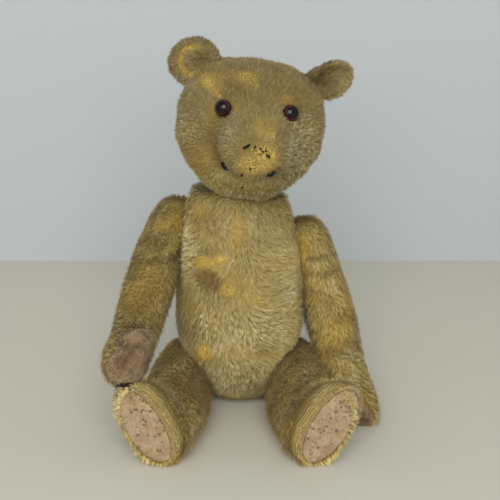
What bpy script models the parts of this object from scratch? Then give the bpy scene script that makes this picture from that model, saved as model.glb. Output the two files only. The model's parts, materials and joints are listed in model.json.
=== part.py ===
"""Antique disc-jointed teddy bear, sitting, as separate sewn, stuffed and jointed pieces.

Metres, +Z up. The bear looks along -Y, so its right side is at -X. The origin is the
middle of the flat seat under its body. Every cover is a closed shell of plush cloth over
its own stuffing. Each of the five joints has a card disc and a steel washer on each side,
and one cotter pin through them all.
"""
import math
from collections import namedtuple

import bmesh
import bpy
from mathutils import Matrix, Vector
from mathutils.bvhtree import BVHTree

MM = 0.001

# Driving dimensions
CLOTH = 3.0 * MM            # backing cloth with its worn pile
GAP = 0.3 * MM              # between pieces that touch
JOINT_CLEARANCE = 0.2 * MM  # from a joint's plane to the cover on each side
PIN_HOLE = 1.7 * MM         # radius of the pin's hole in covers and discs
DISC_THICK = 2.4 * MM
WASHER_THICK = 0.8 * MM
WASHER_RADIUS = 6.5 * MM
WIRE = 0.5 * MM             # radius of the cotter pin's wire
DISC_FROM = JOINT_CLEARANCE + CLOTH + GAP
WASHER_FROM = DISC_FROM + DISC_THICK + GAP
PIN_FROM = WASHER_FROM + WASHER_THICK + GAP
CURL = 2.0 * MM              # radius of the pin's curled ends and of its eye
LEG_APART = 0.62 * MM        # from the pin's axis to each of its two legs
POCKET_BODY = PIN_FROM + CURL + 4 * WIRE
POCKET_LIMB = PIN_FROM + 2 * CURL + 5 * WIRE

# Each joint: its place, how far its forward direction turns outward (yaw), how far its
# outward direction rises (rise), and how far the limb is swung about it at rest.
NECK = Vector((1.5, -2.0, 161.0)) * MM
NECK_LEAN = math.radians(7.5)
HEAD_TURN = math.radians(4.0)
NECK_DISC = 13.0 * MM
SHOULDER = {"right": (Vector((-37.0, 7.0, 132.0)) * MM, 7.5, 9.0, 53.0),
            "left": (Vector((39.5, 7.0, 117.0)) * MM, 11.0, 11.0, 21.0)}
SHOULDER_DISC = 8.8 * MM
HIP = {"right": (Vector((-19.5, 5.0, 25.0)) * MM, 9.0, -8.0, 0.0),
       "left": (Vector((19.5, 5.0, 25.0)) * MM, 8.5, -8.5, 0.0)}
HIP_DISC = 11.0 * MM

# Body, from the seat up: height, reach to the front, reach to the back, half width
BODY_RINGS = [(0, -12, 12, 0), (0, 4, 19, 12), (4, 9, 25, 18), (14, 24, 36, 26),
              (29, 36, 40, 33), (45.5, 42, 41, 40), (54, 43.5, 40.5, 43), (64, 44, 40, 45),
              (83, 43, 38.5, 44.5), (107, 39, 36.5, 43.5), (123, 36.5, 35, 43),
              (138, 34, 33.5, 42), (150, 31, 33, 41), (159, 25, 27, 33.5),
              (164, 13, 14, 16), (164.5, -2, 2, 0)]
BELLY_LEDGE = 24.0 * MM          # above the hip, where the belly swells out over the thigh
RUMP_LEDGE = 28.0 * MM           # behind the hip, the same
SWELL = 2.2                      # how steeply it does so
DISC_MARGIN = 17.0 * MM          # the form is held out to a joint's flat this far round
HELD_DEPTH = 11.0 * MM           # the disc, from at most this far behind it,
HELD_FADE = 4.0 * MM             # and fades over this distance
BODY_LEAN = math.radians(5.0)    # the upper body sinks towards the bear's left
LEAN_FROM = 60 * MM
LEAN_TO = 150 * MM

# Head, from its back to the nose: distance ahead of the neck, middle height, half height,
# half width. The last five rings are the muzzle.
HEAD_RINGS = [(-44, 47, 0, 0), (-43, 47, 14, 14), (-38, 46, 29, 28), (-29, 45, 39, 39.5),
              (-18, 44.5, 46, 46.5), (-3, 44.5, 48, 50.5), (11, 44.5, 48, 50.5),
              (22, 44, 45, 47.5),
              (33, 43.5, 37.5, 39), (40.5, 42, 29, 31), (47, 41, 23, 25.5),
              (58, 40, 20, 22.5), (67, 40, 17, 19.5), (72.5, 40, 11, 12.5), (74, 40, 0, 0)]
HEAD_SQUARENESS = 2.7            # 2 is an ellipse; more makes the crown flatter
HEAD_WIDE = 51 * MM
CHEEK_TAPER = {"right": 0.16, "left": 0.22}  # how much narrower the head is at its chin

# Arm, hanging: distance down its middle line, half depth, half thickness, and how far its
# middle lies outside the joint's plane
ARM_RINGS = [(-18.5, 0, 0, 11), (-17, 9, 7.5, 11), (-12.5, 14.5, 11.5, 11.5), (0, 18, 15, 12),
             (14, 18.5, 16, 12.5), (32, 18.2, 16.8, 13), (60, 17.3, 16.6, 13.6),
             (86, 16, 15.6, 13), (106, 15.5, 14.8, 12), (122, 16.5, 15.5, 11.5),
             (135, 15, 14, 11.5), (144, 9.5, 9, 11.5), (147.5, 0, 0, 11.5)]
PAD_OUT = 11.5 * MM              # the palm's middle, outside the joint's plane
ARM_LENGTH = 147.5 * MM
ARM_TURN_TOP = math.radians(-12)  # direction of the middle line at the joint
ARM_TURN_TIP = math.radians(30)   # and at the tip of the paw
PAD_PLACE = 122.0 * MM             # along the arm
PAD_LONG = 20.0 * MM
PAD_WIDE = 14.0 * MM
PAD_FACING = Vector((0.37, 0.70, -0.51))  # to the front, down the arm, outward
PAD_FLAT = 8.0 * MM              # from the paw's middle to where its palm starts to flatten
PAD_DOME = 0.35                  # share of the paw's roundness that the palm keeps

# Leg, pointing forward: distance ahead, middle height, half height, half thickness, and
# how far its middle lies outside the joint's plane
LEG_RINGS = [(-22.5, 0, 0, 0, 17), (-21, 0, 10, 10, 17), (-15.5, 0, 17, 16.5, 16.5),
             (-3, 0, 21, 20.5, 16.5), (16, 0.5, 22, 21.5, 16.5), (45, 0, 22.5, 19.7, 17),
             (75, -2, 19.4, 17.8, 17.8), (93, 0, 21.5, 17, 19), (105, 3, 26, 17, 19.8),
             (112.5, 4.5, 28.8, 17, 20.3), (117.8, 5, 28.5, 16.7, 20.3),
             (120.2, 5, 26, 15.1, 20.3), (120.6, 5, 14, 7.5, 20.3),
             (120.8, 5, 0, 0, 20.3)]
LEG_TWIST = math.radians(17)     # the foot's top leans outward by this much more than the hip
TWIST_FROM = 5.0 * MM
TWIST_TO = 95.0 * MM
LEG_SQUARENESS = 2.5
SOLE_AHEAD = 120.8 * MM
SOLE_HIGH = 5.5 * MM
SOLE_OUT = 20.5 * MM
SOLE_LONG = 26.8 * MM
SOLE_WIDE = 14.5 * MM

EAR_WIDE = 17.0 * MM
EAR_HIGH = 15.5 * MM
EAR_THICK = 2.9 * MM
EAR_CUP = 5.5 * MM
EYE_RADIUS = 5.8 * MM
EYE_DEEP = 3.3 * MM
# Eyes and ears: to the side (and back) and up, in the head's own frame
EYE_PLACE = {"right": (22.6, 64.6), "left": (22.2, 66.3)}
EAR_PLACE = {"right": (39.5, -2.0, 81.0), "left": (45.5, 0.0, 82.0)}
EAR_TILT = {"right": 32.0, "left": 54.0}  # degrees, outward
EAR_TURN = {"right": 6.0, "left": 38.0}   # degrees, away from the front
THREAD = 0.6 * MM

Joint = namedtuple("Joint", "name matrix out disc")
Flat = namedtuple("Flat", "place outward held ledges keep", defaults=(0.0, (), 0.0))


def material(name, colour, roughness, metallic=0.0):
    made = bpy.data.materials.new(name)
    made.use_nodes = True
    shader = made.node_tree.nodes["Principled BSDF"]
    shader.inputs["Base Color"].default_value = (*colour, 1.0)
    shader.inputs["Roughness"].default_value = roughness
    shader.inputs["Metallic"].default_value = metallic
    made.diffuse_color = (*colour, 1.0)
    return made


def collection(name):
    made = bpy.data.collections.new(name)
    bpy.context.scene.collection.children.link(made)
    return made


def add_object(name, data, parent, group, finish=None):
    made = bpy.data.objects.new(name, data)
    group.objects.link(made)
    made.parent = parent
    if finish is not None:
        data.materials.append(finish)
    return made


def finish_mesh(mesh):
    mesh.shade_smooth()
    mesh.set_sharp_from_angle(angle=math.radians(50))
    return mesh


def empty(name, matrix, group):
    made = bpy.data.objects.new(name, None)
    made.empty_display_size = 20 * MM
    made.matrix_world = matrix
    group.objects.link(made)
    return made


# Frames ---------------------------------------------------------------------------------

def limb_joint(name, side, place, yaw, rise, swing, disc):
    """A joint on the body's side. Local X is forward, Y up and Z across to the right."""
    sign = -1 if side == "right" else 1
    turn = math.radians(yaw)
    tilt = math.radians(rise)
    outward = Vector((sign * math.cos(turn) * math.cos(tilt),
                      math.sin(turn) * math.cos(tilt),
                      math.sin(tilt)))
    forward = Vector((sign * math.sin(turn), -math.cos(turn), 0.0))
    across = -sign * outward
    upward = across.cross(forward)
    matrix = Matrix((forward, upward, across)).transposed().to_4x4()
    matrix.translation = place
    matrix = matrix @ Matrix.Rotation(math.radians(swing), 4, "Z")
    return Joint(name, matrix, -sign, disc)


def neck_joint():
    """The neck: local Z runs up into the head, and -Y is where the head looks."""
    lean = Matrix.Rotation(NECK_LEAN, 4, "Y")
    turn = Matrix.Rotation(HEAD_TURN, 4, "Z")
    return Joint("neck", Matrix.Translation(NECK) @ lean @ turn, 1, NECK_DISC)


# Forms ----------------------------------------------------------------------------------

def press_flat(point, form_point, flats, inset):
    """Push a point back behind each flat.

    Near the middle of a joint's flat the form is also held out to it, so that the whole
    disc bears on flat cloth. A flat's ledges are the directions in it, and how far along
    each, where the form may swell out over it again, as the belly does above a thigh. A
    soft flat keeps a share of what stood past it.
    """
    for flat in flats:
        on_form = form_point - flat.place
        height = on_form.dot(flat.outward)
        beside = (on_form - height * flat.outward).length
        past = max([0.0] + [on_form.dot(way) - start for way, start in flat.ledges])
        over = (point - flat.place).dot(flat.outward) + inset - SWELL * past
        share = 1.0 - flat.keep
        if over < 0:
            near = (flat.held - beside) / HELD_FADE
            shallow = (HELD_DEPTH + height) / HELD_FADE
            share = max(0.0, min(1.0, near, shallow))
        point = point - over * share * flat.outward
    return point


def face_outward(form):
    """Outward faces, already split, so that every sheet laid on the form bends alike."""
    form.normal_update()
    bmesh.ops.recalc_face_normals(form, faces=form.faces)
    bmesh.ops.triangulate(form, faces=form.faces)
    return form


def ring_sphere(rings, segments, place):
    """A UV sphere whose rings are laid one by one on the form's own rings."""
    form = bmesh.new()
    last = len(rings) - 1
    bmesh.ops.create_uvsphere(form, u_segments=segments, v_segments=last, radius=1.0)
    for vert in form.verts:
        share = math.acos(max(-1.0, min(1.0, vert.co.z))) / math.pi
        around = math.atan2(vert.co.y, vert.co.x)
        vert.co = place(rings[round(share * last)], around)
    return face_outward(form)


def offset_mesh(name, form, flats, inset):
    """The form moved inward by the inset, and pressed flat at its joints and its seat."""
    inner = form.copy()
    inner.normal_update()
    moved = [vert.co - vert.normal * inset for vert in inner.verts]
    for vert, point in zip(inner.verts, moved):
        vert.co = press_flat(point, vert.co.copy(), flats, inset)
    mesh = bpy.data.meshes.new(name)
    inner.to_mesh(mesh)
    inner.free()
    return finish_mesh(mesh)


def shell_mesh(name, form, flats):
    """Two sheets, the form and the form moved inward by the cloth, facing apart."""
    outer = offset_mesh(name, form, flats, 0.0)
    inner = offset_mesh(name + "_inside", form, flats, CLOTH)
    inner.flip_normals()
    both = bmesh.new()
    both.from_mesh(outer)
    both.from_mesh(inner)
    both.to_mesh(outer)
    both.free()
    bpy.data.meshes.remove(inner)
    return finish_mesh(outer)


def squared(around, squareness):
    """Cosine and sine of an angle on an ellipse with fuller corners."""
    power = 2 / squareness
    return (math.copysign(abs(math.cos(around)) ** power, math.cos(around)),
            math.copysign(abs(math.sin(around)) ** power, math.sin(around)))


def body_form():
    def place(ring, around):
        height, front, back, half_wide = (value * MM for value in ring)
        across = half_wide * math.cos(around)
        middle = (back - front) / 2
        depth = (back + front) / 2 * math.sin(around)
        share = max(0.0, min(1.0, (height - LEAN_FROM) / (LEAN_TO - LEAN_FROM)))
        return Vector((across, middle + depth, height - across * math.tan(BODY_LEAN) * share))
    return ring_sphere(BODY_RINGS, 18, place)


def head_form():
    def place(ring, around):
        ahead, middle, half_high, half_wide = (value * MM for value in ring)
        across, upward = squared(around, HEAD_SQUARENESS if math.sin(around) > 0 else 2)
        side = "right" if across < 0 else "left"
        taper = 1.0 - CHEEK_TAPER[side] * max(0.0, -upward) ** 1.5 * half_wide / HEAD_WIDE
        return Vector((half_wide * across * taper, -ahead, middle + half_high * upward))
    return ring_sphere(HEAD_RINGS, 18, place)


def arm_line(distance):
    """The arm's middle line, a gentle arc: its place and its direction."""
    bend = (ARM_TURN_TIP - ARM_TURN_TOP) / ARM_LENGTH
    turn = ARM_TURN_TOP + bend * distance
    ahead = (math.cos(ARM_TURN_TOP) - math.cos(turn)) / bend
    down = (math.sin(turn) - math.sin(ARM_TURN_TOP)) / bend
    return Vector((ahead, -down, 0.0)), Vector((math.sin(turn), -math.cos(turn), 0.0))


def arm_form(out):
    def place(ring, around):
        distance, half_deep, half_thick, outside = (value * MM for value in ring)
        middle, direction = arm_line(distance)
        front = Vector((-direction.y, direction.x, 0.0))
        across = Vector((0.0, 0.0, out))
        return (middle + front * half_deep * math.sin(around)
                + across * (outside + half_thick * math.cos(around)))
    return ring_sphere(ARM_RINGS, 12, place)


def leg_turned(ahead, out):
    """The leg's own up and outward directions at a distance along it."""
    share = max(0.0, min(1.0, (ahead - TWIST_FROM) / (TWIST_TO - TWIST_FROM)))
    twist = Matrix.Rotation(out * LEG_TWIST * share, 3, "X")
    return twist @ Vector((0.0, 1.0, 0.0)), twist @ Vector((0.0, 0.0, out))


def leg_form(out):
    def place(ring, around):
        ahead, middle, half_high, half_thick, outside = (value * MM for value in ring)
        across, upward = squared(around, LEG_SQUARENESS)
        up_way, out_way = leg_turned(ahead, out)
        return (Vector((ahead, middle, out * outside)) + half_high * upward * up_way
                + half_thick * across * out_way)
    return ring_sphere(LEG_RINGS, 12, place)


def ear_form():
    """A cupped oval paddle: across X, up Z, with its hollow towards -Y."""
    form = bmesh.new()
    bmesh.ops.create_uvsphere(form, u_segments=12, v_segments=7, radius=1.0)
    turned = Matrix.Rotation(math.pi / 2, 4, "X")
    for vert in form.verts:
        point = turned @ vert.co
        spread = point.x ** 2 + 0.7 * max(point.z, 0.0) ** 2
        vert.co = Vector((point.x * EAR_WIDE,
                          point.y * EAR_THICK - EAR_CUP * (spread - 0.5),
                          point.z * EAR_HIGH + 0.5 * EAR_HIGH))
    return face_outward(form)


# Cutters --------------------------------------------------------------------------------

def cylinder_mesh(name, radius, low, high, segments=16, stretch=1.0):
    form = bmesh.new()
    bmesh.ops.create_cone(form, cap_ends=True, segments=segments, radius1=radius,
                          radius2=radius, depth=high - low)
    bmesh.ops.scale(form, vec=(1.0, stretch, 1.0), verts=form.verts)
    bmesh.ops.translate(form, vec=(0.0, 0.0, (high + low) / 2), verts=form.verts)
    mesh = bpy.data.meshes.new(name)
    form.to_mesh(mesh)
    form.free()
    return mesh


def cutter(name, mesh, parent, placed=None):
    made = add_object(name, mesh, parent, CUTTERS)
    if placed is not None:
        made.matrix_local = placed
    made.hide_render = True
    made.display_type = "WIRE"
    return made


def cut(piece, tool, operation="DIFFERENCE"):
    boolean = piece.modifiers.new(tool.name, "BOOLEAN")
    boolean.operation = operation
    boolean.solver = "EXACT"
    boolean.object = tool


def pin_bore(joint, parent):
    mesh = cylinder_mesh(joint.name + "_bore", PIN_HOLE, -2 * CLOTH, 2 * CLOTH, 8)
    return cutter(joint.name + "_bore", mesh, parent)


def disc_pocket(joint, parent, inward):
    """The hollow in the stuffing round the disc, the washer and the pin's end."""
    direction = -joint.out if inward else joint.out
    depth = POCKET_BODY if inward else POCKET_LIMB
    low, high = sorted((-direction * CLOTH, direction * depth))
    name = joint.name + ("_pocket_body" if inward else "_pocket_limb")
    return cutter(name, cylinder_mesh(name, joint.disc + 2 * GAP, low, high, 12), parent)


# Joint hardware -------------------------------------------------------------------------



def turned_ring(name, parent, finish, inner, outer, low, high, steps):
    """A flat ring round the joint's axis: its section, turned by a Screw modifier."""
    mesh = bpy.data.meshes.new(name)
    section = bmesh.new()
    corners = [(outer, high), (outer, low), (inner, low), (inner, high)]
    verts = [section.verts.new((radius, 0.0, height)) for radius, height in corners]
    for index, vert in enumerate(verts):
        section.edges.new((vert, verts[(index + 1) % len(verts)]))
    section.to_mesh(mesh)
    section.free()
    made = add_object(name, mesh, parent, PARTS, finish)
    screw = made.modifiers.new("turn", "SCREW")
    screw.axis = "Z"
    screw.steps = steps
    screw.render_steps = steps
    screw.use_merge_vertices = True
    screw.merge_threshold = 0.00001
    screw.use_smooth_shade = False
    return made


def disc_and_washer(joint, parent, owner, inward):
    direction = -joint.out if inward else joint.out
    for kind, start, thick, radius, finish, steps in (
            ("disc", DISC_FROM, DISC_THICK, joint.disc, CARD, 12),
            ("washer", WASHER_FROM, WASHER_THICK, WASHER_RADIUS, STEEL, 8)):
        low, high = sorted((direction * start, direction * (start + thick)))
        turned_ring(f"{owner}_{joint.name}_{kind}", parent, finish, PIN_HOLE, radius,
                    low, high, steps)


def arc(middle_x, middle_z, radius, start, end, count):
    angles = [math.radians(start + (end - start) * step / (count - 1)) for step in range(count)]
    return [(middle_x + radius * math.cos(a), middle_z + radius * math.sin(a)) for a in angles]


def wire_curve(name, points, radius, parent, finish, resolution=1):
    curve = bpy.data.curves.new(name, "CURVE")
    curve.dimensions = "3D"
    curve.bevel_depth = radius
    curve.bevel_resolution = resolution
    curve.use_fill_caps = True
    spline = curve.splines.new("POLY")
    spline.points.add(len(points) - 1)
    for target, point in zip(spline.points, points):
        target.co = (*point, 1.0)
    spline.use_smooth = True
    return add_object(name, curve, parent, PARTS, finish)


def cotter_pin(joint, parent):
    """One bent wire: curled end, leg, eye, leg and the other curled end."""
    eye_high = PIN_FROM + WIRE + CURL
    curl_low = -(PIN_FROM + WIRE)
    reach = LEG_APART + CURL
    left = arc(-reach, curl_low, CURL, -180, 0, 4)
    eye = arc(0.0, eye_high, CURL, 252, -72, 7)
    right = arc(reach, curl_low, CURL, 180, 360, 4)
    flat = left + eye + right
    points = [(x, 0.0, joint.out * z) for x, z in flat]
    return wire_curve(joint.name + "_pin", points, WIRE, parent, STEEL, 0)


# Sub-parts ------------------------------------------------------------------------------

def cover_and_stuffing(name, form, flats, parent):
    cover = add_object(name + "_cover", shell_mesh(name + "_cover", form, flats), parent,
                       PARTS, PLUSH)
    filling = offset_mesh(name + "_stuffing", form, flats, CLOTH + 2 * GAP)
    stuffing = add_object(name + "_stuffing", filling, parent, PARTS, WOOD_WOOL)
    return cover, stuffing


def let_in_pad(name, cover, form, flats, parent, tool_at, half_long, half_wide, depth):
    """A felt pad in a hole of its own shape in the cover."""
    stretch = half_long / half_wide
    pad_tool = cylinder_mesh(name + "_shape", half_wide, -depth, depth, 14, stretch)
    hole_wide = half_wide + GAP
    hole_stretch = (half_long + GAP) / hole_wide
    hole_tool = cylinder_mesh(name + "_hole", hole_wide, -depth - GAP, depth, 14, hole_stretch)
    pad = add_object(name, shell_mesh(name, form, flats), parent, PARTS, FELT)
    cut(pad, cutter(name + "_shape", pad_tool, parent, tool_at), "INTERSECT")
    cut(cover, cutter(name + "_hole", hole_tool, parent, tool_at))
    return pad


def limb_flats(joint):
    """The joint's own plane and the ground, in the joint's frame."""
    back = joint.matrix.inverted()
    return [Flat(Vector((0.0, 0.0, joint.out * JOINT_CLEARANCE)),
                 Vector((0.0, 0.0, -joint.out)), joint.disc + DISC_MARGIN),
            Flat(back @ GROUND.place, back.to_3x3() @ GROUND.outward)]


def facing_matrix(place, facing, along):
    """Z along facing, Y as near as can be to along."""
    forward = facing.normalized()
    upward = (along - along.dot(forward) * forward).normalized()
    across = upward.cross(forward)
    matrix = Matrix((across, upward, forward)).transposed().to_4x4()
    matrix.translation = place
    return matrix


def build_body(joints, frames):
    flats = [GROUND]
    for joint in joints:
        turn = joint.matrix.to_3x3()
        outward = turn @ Vector((0.0, 0.0, joint.out))
        place = joint.matrix.translation - outward * JOINT_CLEARANCE
        ledges = ()
        if joint.name.startswith("hip"):
            ledges = ((turn @ Vector((0.0, 1.0, 0.0)), BELLY_LEDGE),
                      (turn @ Vector((-1.0, 0.0, 0.0)), RUMP_LEDGE))
        flats.append(Flat(place, outward, joint.disc + DISC_MARGIN, ledges))
    form = body_form()
    cover, stuffing = cover_and_stuffing("torso", form, flats, None)
    form.free()
    for joint in joints:
        frame = frames[joint.name]
        cut(cover, bpy.data.objects[joint.name + "_bore"])
        cut(stuffing, disc_pocket(joint, frame, True))
        disc_and_washer(joint, frame, "torso", True)
        cotter_pin(joint, frame)


def build_arm(side, joint, frame):
    name = "arm_" + side
    form = arm_form(joint.out)
    middle, direction = arm_line(PAD_PLACE)
    front = Vector((-direction.y, direction.x, 0.0))
    across = Vector((0.0, 0.0, joint.out))
    facing = (front * PAD_FACING.x + direction * PAD_FACING.y + across * PAD_FACING.z)
    facing.normalize()
    palm = middle + across * PAD_OUT + facing * PAD_FLAT
    flats = [Flat(palm, facing, 0.0, (), PAD_DOME)] + limb_flats(joint)
    cover, stuffing = cover_and_stuffing(name, form, flats, frame)
    tool_at = facing_matrix(palm, facing, direction)
    let_in_pad("paw_pad_" + side, cover, form, flats, frame, tool_at, PAD_LONG, PAD_WIDE,
               3 * CLOTH)
    form.free()
    cut(cover, bpy.data.objects[joint.name + "_bore"])
    cut(stuffing, disc_pocket(joint, frame, False))
    disc_and_washer(joint, frame, "arm", False)


def build_leg(side, joint, frame):
    name = "leg_" + side
    form = leg_form(joint.out)
    flats = limb_flats(joint)
    cover, stuffing = cover_and_stuffing(name, form, flats, frame)
    centre = Vector((SOLE_AHEAD + 1.5 * CLOTH, SOLE_HIGH, joint.out * SOLE_OUT))
    up_way, _ = leg_turned(SOLE_AHEAD, joint.out)
    tool_at = facing_matrix(centre, Vector((1.0, 0.0, 0.0)), up_way)
    let_in_pad("foot_pad_" + side, cover, form, flats, frame, tool_at, SOLE_LONG, SOLE_WIDE,
               3.2 * CLOTH)
    form.free()
    cut(cover, bpy.data.objects[joint.name + "_bore"])
    cut(stuffing, disc_pocket(joint, frame, False))
    disc_and_washer(joint, frame, "leg", False)


def surface_point(tree, across, upward):
    """The point of the face that lies straight behind a point in front of it."""
    hit, normal, _, _ = tree.ray_cast(Vector((across, -0.2, upward)), Vector((0.0, 1.0, 0.0)))
    return hit, normal


def add_eye(side, sign, tree, head, stuffing, frame):
    spot, normal = surface_point(tree, sign * EYE_PLACE[side][0] * MM, EYE_PLACE[side][1] * MM)
    facing = (normal + Vector((0.0, -1.4, 0.0))).normalized()
    placed = facing_matrix(spot + facing * 1.2 * MM, facing, Vector((0.0, 0.0, 1.0)))
    for name, grow in (("eye_" + side, 0.0), (f"eye_{side}_socket", GAP)):
        form = bmesh.new()
        bmesh.ops.create_uvsphere(form, u_segments=12, v_segments=6, radius=1.0)
        across = EYE_RADIUS + grow
        bmesh.ops.scale(form, vec=(across, across, EYE_DEEP + grow), verts=form.verts)
        mesh = bpy.data.meshes.new(name)
        form.to_mesh(mesh)
        form.free()
        if grow:
            cut(head, cutter(name, mesh, frame, placed))
        else:
            eye = add_object(name, finish_mesh(mesh), frame, PARTS, GLASS)
            eye.matrix_local = placed
    name = f"eye_{side}_wire"
    hole = cylinder_mesh(name + "_hole", 2 * WIRE, -12 * MM, -EYE_DEEP / 2, 8)
    hole_at = cutter(name + "_hole", hole, frame, placed)
    cut(head, hole_at)
    pocket = cylinder_mesh(name + "_pocket", 3.2 * MM, -19 * MM, 0.0, 8)
    cut(stuffing, cutter(name + "_pocket", pocket, frame, placed))
    start = -EYE_DEEP - GAP
    hook = arc(1.0 * MM, -15 * MM, 1.0 * MM, 180, 360, 4)
    points = [placed @ Vector((x, 0.0, z)) for x, z in [(0.0, start)] + hook]
    wire_curve("eye_wire_" + side, points, WIRE * 0.8, frame, STEEL, 0)


def add_ear(side, sign, head_shape, frame):
    """The ear stands on the head's upper corner, trimmed to the head's own surface."""
    form = ear_form()
    mesh = bpy.data.meshes.new("ear_" + side)
    form.to_mesh(mesh)
    form.free()
    ear = add_object("ear_" + side, finish_mesh(mesh), frame, PARTS, PLUSH)
    place = Vector((sign * EAR_PLACE[side][0], EAR_PLACE[side][1], EAR_PLACE[side][2])) * MM
    tilt = Matrix.Rotation(math.radians(sign * EAR_TILT[side]), 4, "Y")
    turn = Matrix.Rotation(math.radians(sign * EAR_TURN[side]), 4, "Z")
    ear.matrix_local = Matrix.Translation(place) @ tilt @ turn
    cut(ear, head_shape)




def add_thread(name, spots, tree, frame):
    """A thread end lying on the face, a hair's breadth above the cloth."""
    points = []
    for across, upward in spots:
        hit, normal = surface_point(tree, across * MM, upward * MM)
        points.append(hit + normal * (THREAD + GAP))
    wire_curve(name, points, THREAD, frame, THREAD_BLACK)


def build_head(joint, frame):
    form = head_form()
    flats = [Flat(Vector((0.0, 0.0, JOINT_CLEARANCE)), Vector((0.0, 0.0, -1.0)),
                  joint.disc + DISC_MARGIN)]
    cover, stuffing = cover_and_stuffing("head", form, flats, frame)
    outer = offset_mesh("head_outline", form, flats, -GAP)
    outline = cutter("head_outline", outer, frame)
    tree = BVHTree.FromBMesh(form)
    for side, sign in (("right", -1), ("left", 1)):
        add_eye(side, sign, tree, cover, stuffing, frame)
        add_ear(side, sign, outline, frame)
    add_thread("nose_thread", [(-6, 47.5), (-3, 49.5), (1, 49.8), (5, 48.6), (8, 46)], tree, frame)
    add_thread("mouth_thread_right", [(-20.5, 35), (-18.2, 33.2), (-16, 31.2)], tree, frame)
    add_thread("mouth_thread_left", [(8.5, 28.5), (11, 29.5), (13.5, 31.5)], tree, frame)
    form.free()
    cut(cover, bpy.data.objects[joint.name + "_bore"])
    cut(stuffing, disc_pocket(joint, frame, False))
    disc_and_washer(joint, frame, "head", False)


def main():
    joints = [neck_joint()]
    for side in ("right", "left"):
        joints.append(limb_joint("shoulder_" + side, side, *SHOULDER[side], SHOULDER_DISC))
    for side in ("right", "left"):
        joints.append(limb_joint("hip_" + side, side, *HIP[side], HIP_DISC))
    frames = {joint.name: empty(joint.name + "_axis", joint.matrix, PARTS) for joint in joints}
    for joint in joints:
        pin_bore(joint, frames[joint.name])
    build_body(joints, frames)
    by_name = {joint.name: joint for joint in joints}
    build_head(by_name["neck"], frames["neck"])
    for side in ("right", "left"):
        build_arm(side, by_name["shoulder_" + side], frames["shoulder_" + side])
        build_leg(side, by_name["hip_" + side], frames["hip_" + side])


for old in list(bpy.data.objects):
    bpy.data.objects.remove(old, do_unlink=True)

PARTS = collection("teddy_bear")
CUTTERS = collection("cutters")
GROUND = Flat(Vector((0.0, 0.0, 0.0)), Vector((0.0, 0.0, -1.0)))
PLUSH = material("mohair_plush", (0.30, 0.22, 0.08), 0.9)
FELT = material("wool_felt", (0.42, 0.30, 0.20), 0.95)
WOOD_WOOL = material("wood_wool", (0.55, 0.42, 0.22), 0.9)
CARD = material("pressed_card", (0.24, 0.16, 0.09), 0.85)
STEEL = material("steel", (0.45, 0.44, 0.42), 0.4, 1.0)
GLASS = material("eye_glass", (0.12, 0.03, 0.01), 0.05)
THREAD_BLACK = material("black_thread", (0.02, 0.02, 0.02), 0.8)
main()
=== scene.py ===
# %% [markdown]
# # An old jointed teddy bear, dressed in Blender
# This notebook dresses the bear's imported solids. Every stuffed part gets a smooth cloth skin
# and a worn mohair pile that lies the way years of handling have brushed it. Then come the
# felt pads, the glass eyes and what is left of the black embroidery. The solids are never
# moved: each step copies what it needs from them.

import json
import math
from collections import namedtuple

import bmesh
import bpy
import numpy as np
from mathutils import Euler, Matrix, Vector
from mathutils.bvhtree import BVHTree
from mathutils.kdtree import KDTree


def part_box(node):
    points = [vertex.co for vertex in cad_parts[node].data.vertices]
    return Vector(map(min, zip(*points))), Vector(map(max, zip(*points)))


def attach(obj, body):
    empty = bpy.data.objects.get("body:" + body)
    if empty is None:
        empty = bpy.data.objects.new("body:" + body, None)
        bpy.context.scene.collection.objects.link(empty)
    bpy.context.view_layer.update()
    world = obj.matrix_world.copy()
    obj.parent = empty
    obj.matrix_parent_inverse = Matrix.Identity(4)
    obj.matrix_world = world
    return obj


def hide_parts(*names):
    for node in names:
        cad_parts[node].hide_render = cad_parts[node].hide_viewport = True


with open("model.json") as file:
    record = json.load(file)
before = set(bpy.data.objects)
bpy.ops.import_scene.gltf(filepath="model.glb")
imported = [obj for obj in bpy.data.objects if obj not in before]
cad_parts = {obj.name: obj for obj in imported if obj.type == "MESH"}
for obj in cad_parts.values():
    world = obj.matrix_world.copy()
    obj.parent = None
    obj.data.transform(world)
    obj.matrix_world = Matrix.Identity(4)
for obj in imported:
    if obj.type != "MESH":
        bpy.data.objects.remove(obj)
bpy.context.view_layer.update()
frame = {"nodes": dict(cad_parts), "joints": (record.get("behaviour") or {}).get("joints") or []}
MM = 0.001

# %% [markdown]
# ## The joints
# The bear has five disc joints. A card disc sits on either side of the cloth and a pin holds
# the two together, so neck, shoulders and hips each turn about one straight line. Skins and
# pile must keep to their own side of these planes, or they would cut into each other when a
# limb turns. So the planes are looked up once, by name.

# %% Look up the joint planes
JOINT_PLANES = {}
for joint in frame["joints"]:
    place = np.array(joint["pos_m"])
    line = np.array(joint["axis"]) / np.linalg.norm(joint["axis"])
    JOINT_PLANES[joint["name"]] = (place, line)


def joint_side(name, points):
    """How far points lie from a joint's plane, and how far from its pin."""
    place, line = JOINT_PLANES[name]
    rise = (points - place) @ line
    across = np.linalg.norm(points - place - rise[:, None] * line, axis=1)
    return rise, across


HEAD_LEAN, HEAD_YAW = math.radians(7.5), math.radians(4.0)
HEAD_TURN = np.array(Euler((0.0, HEAD_LEAN, HEAD_YAW)).to_matrix())
NECK = JOINT_PLANES["neck_swivel"][0]


def in_head(points):
    """Points in the head's own frame, which leans with the neck, in millimetres."""
    return (points - NECK) @ HEAD_TURN / MM


print("joint planes:", {name: place.round(3).tolist() for name, (place, line) in JOINT_PLANES.items()})

# %% [markdown]
# ## Camera, floor and light
# The bear sits on a pale sheet in front of a pale wall, seen from a little above. A long lens
# at some distance keeps the proportions calm. The light is soft and even: one large lamp high
# in front, a weak one beside it, and a pale world that fills the shadows.

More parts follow.
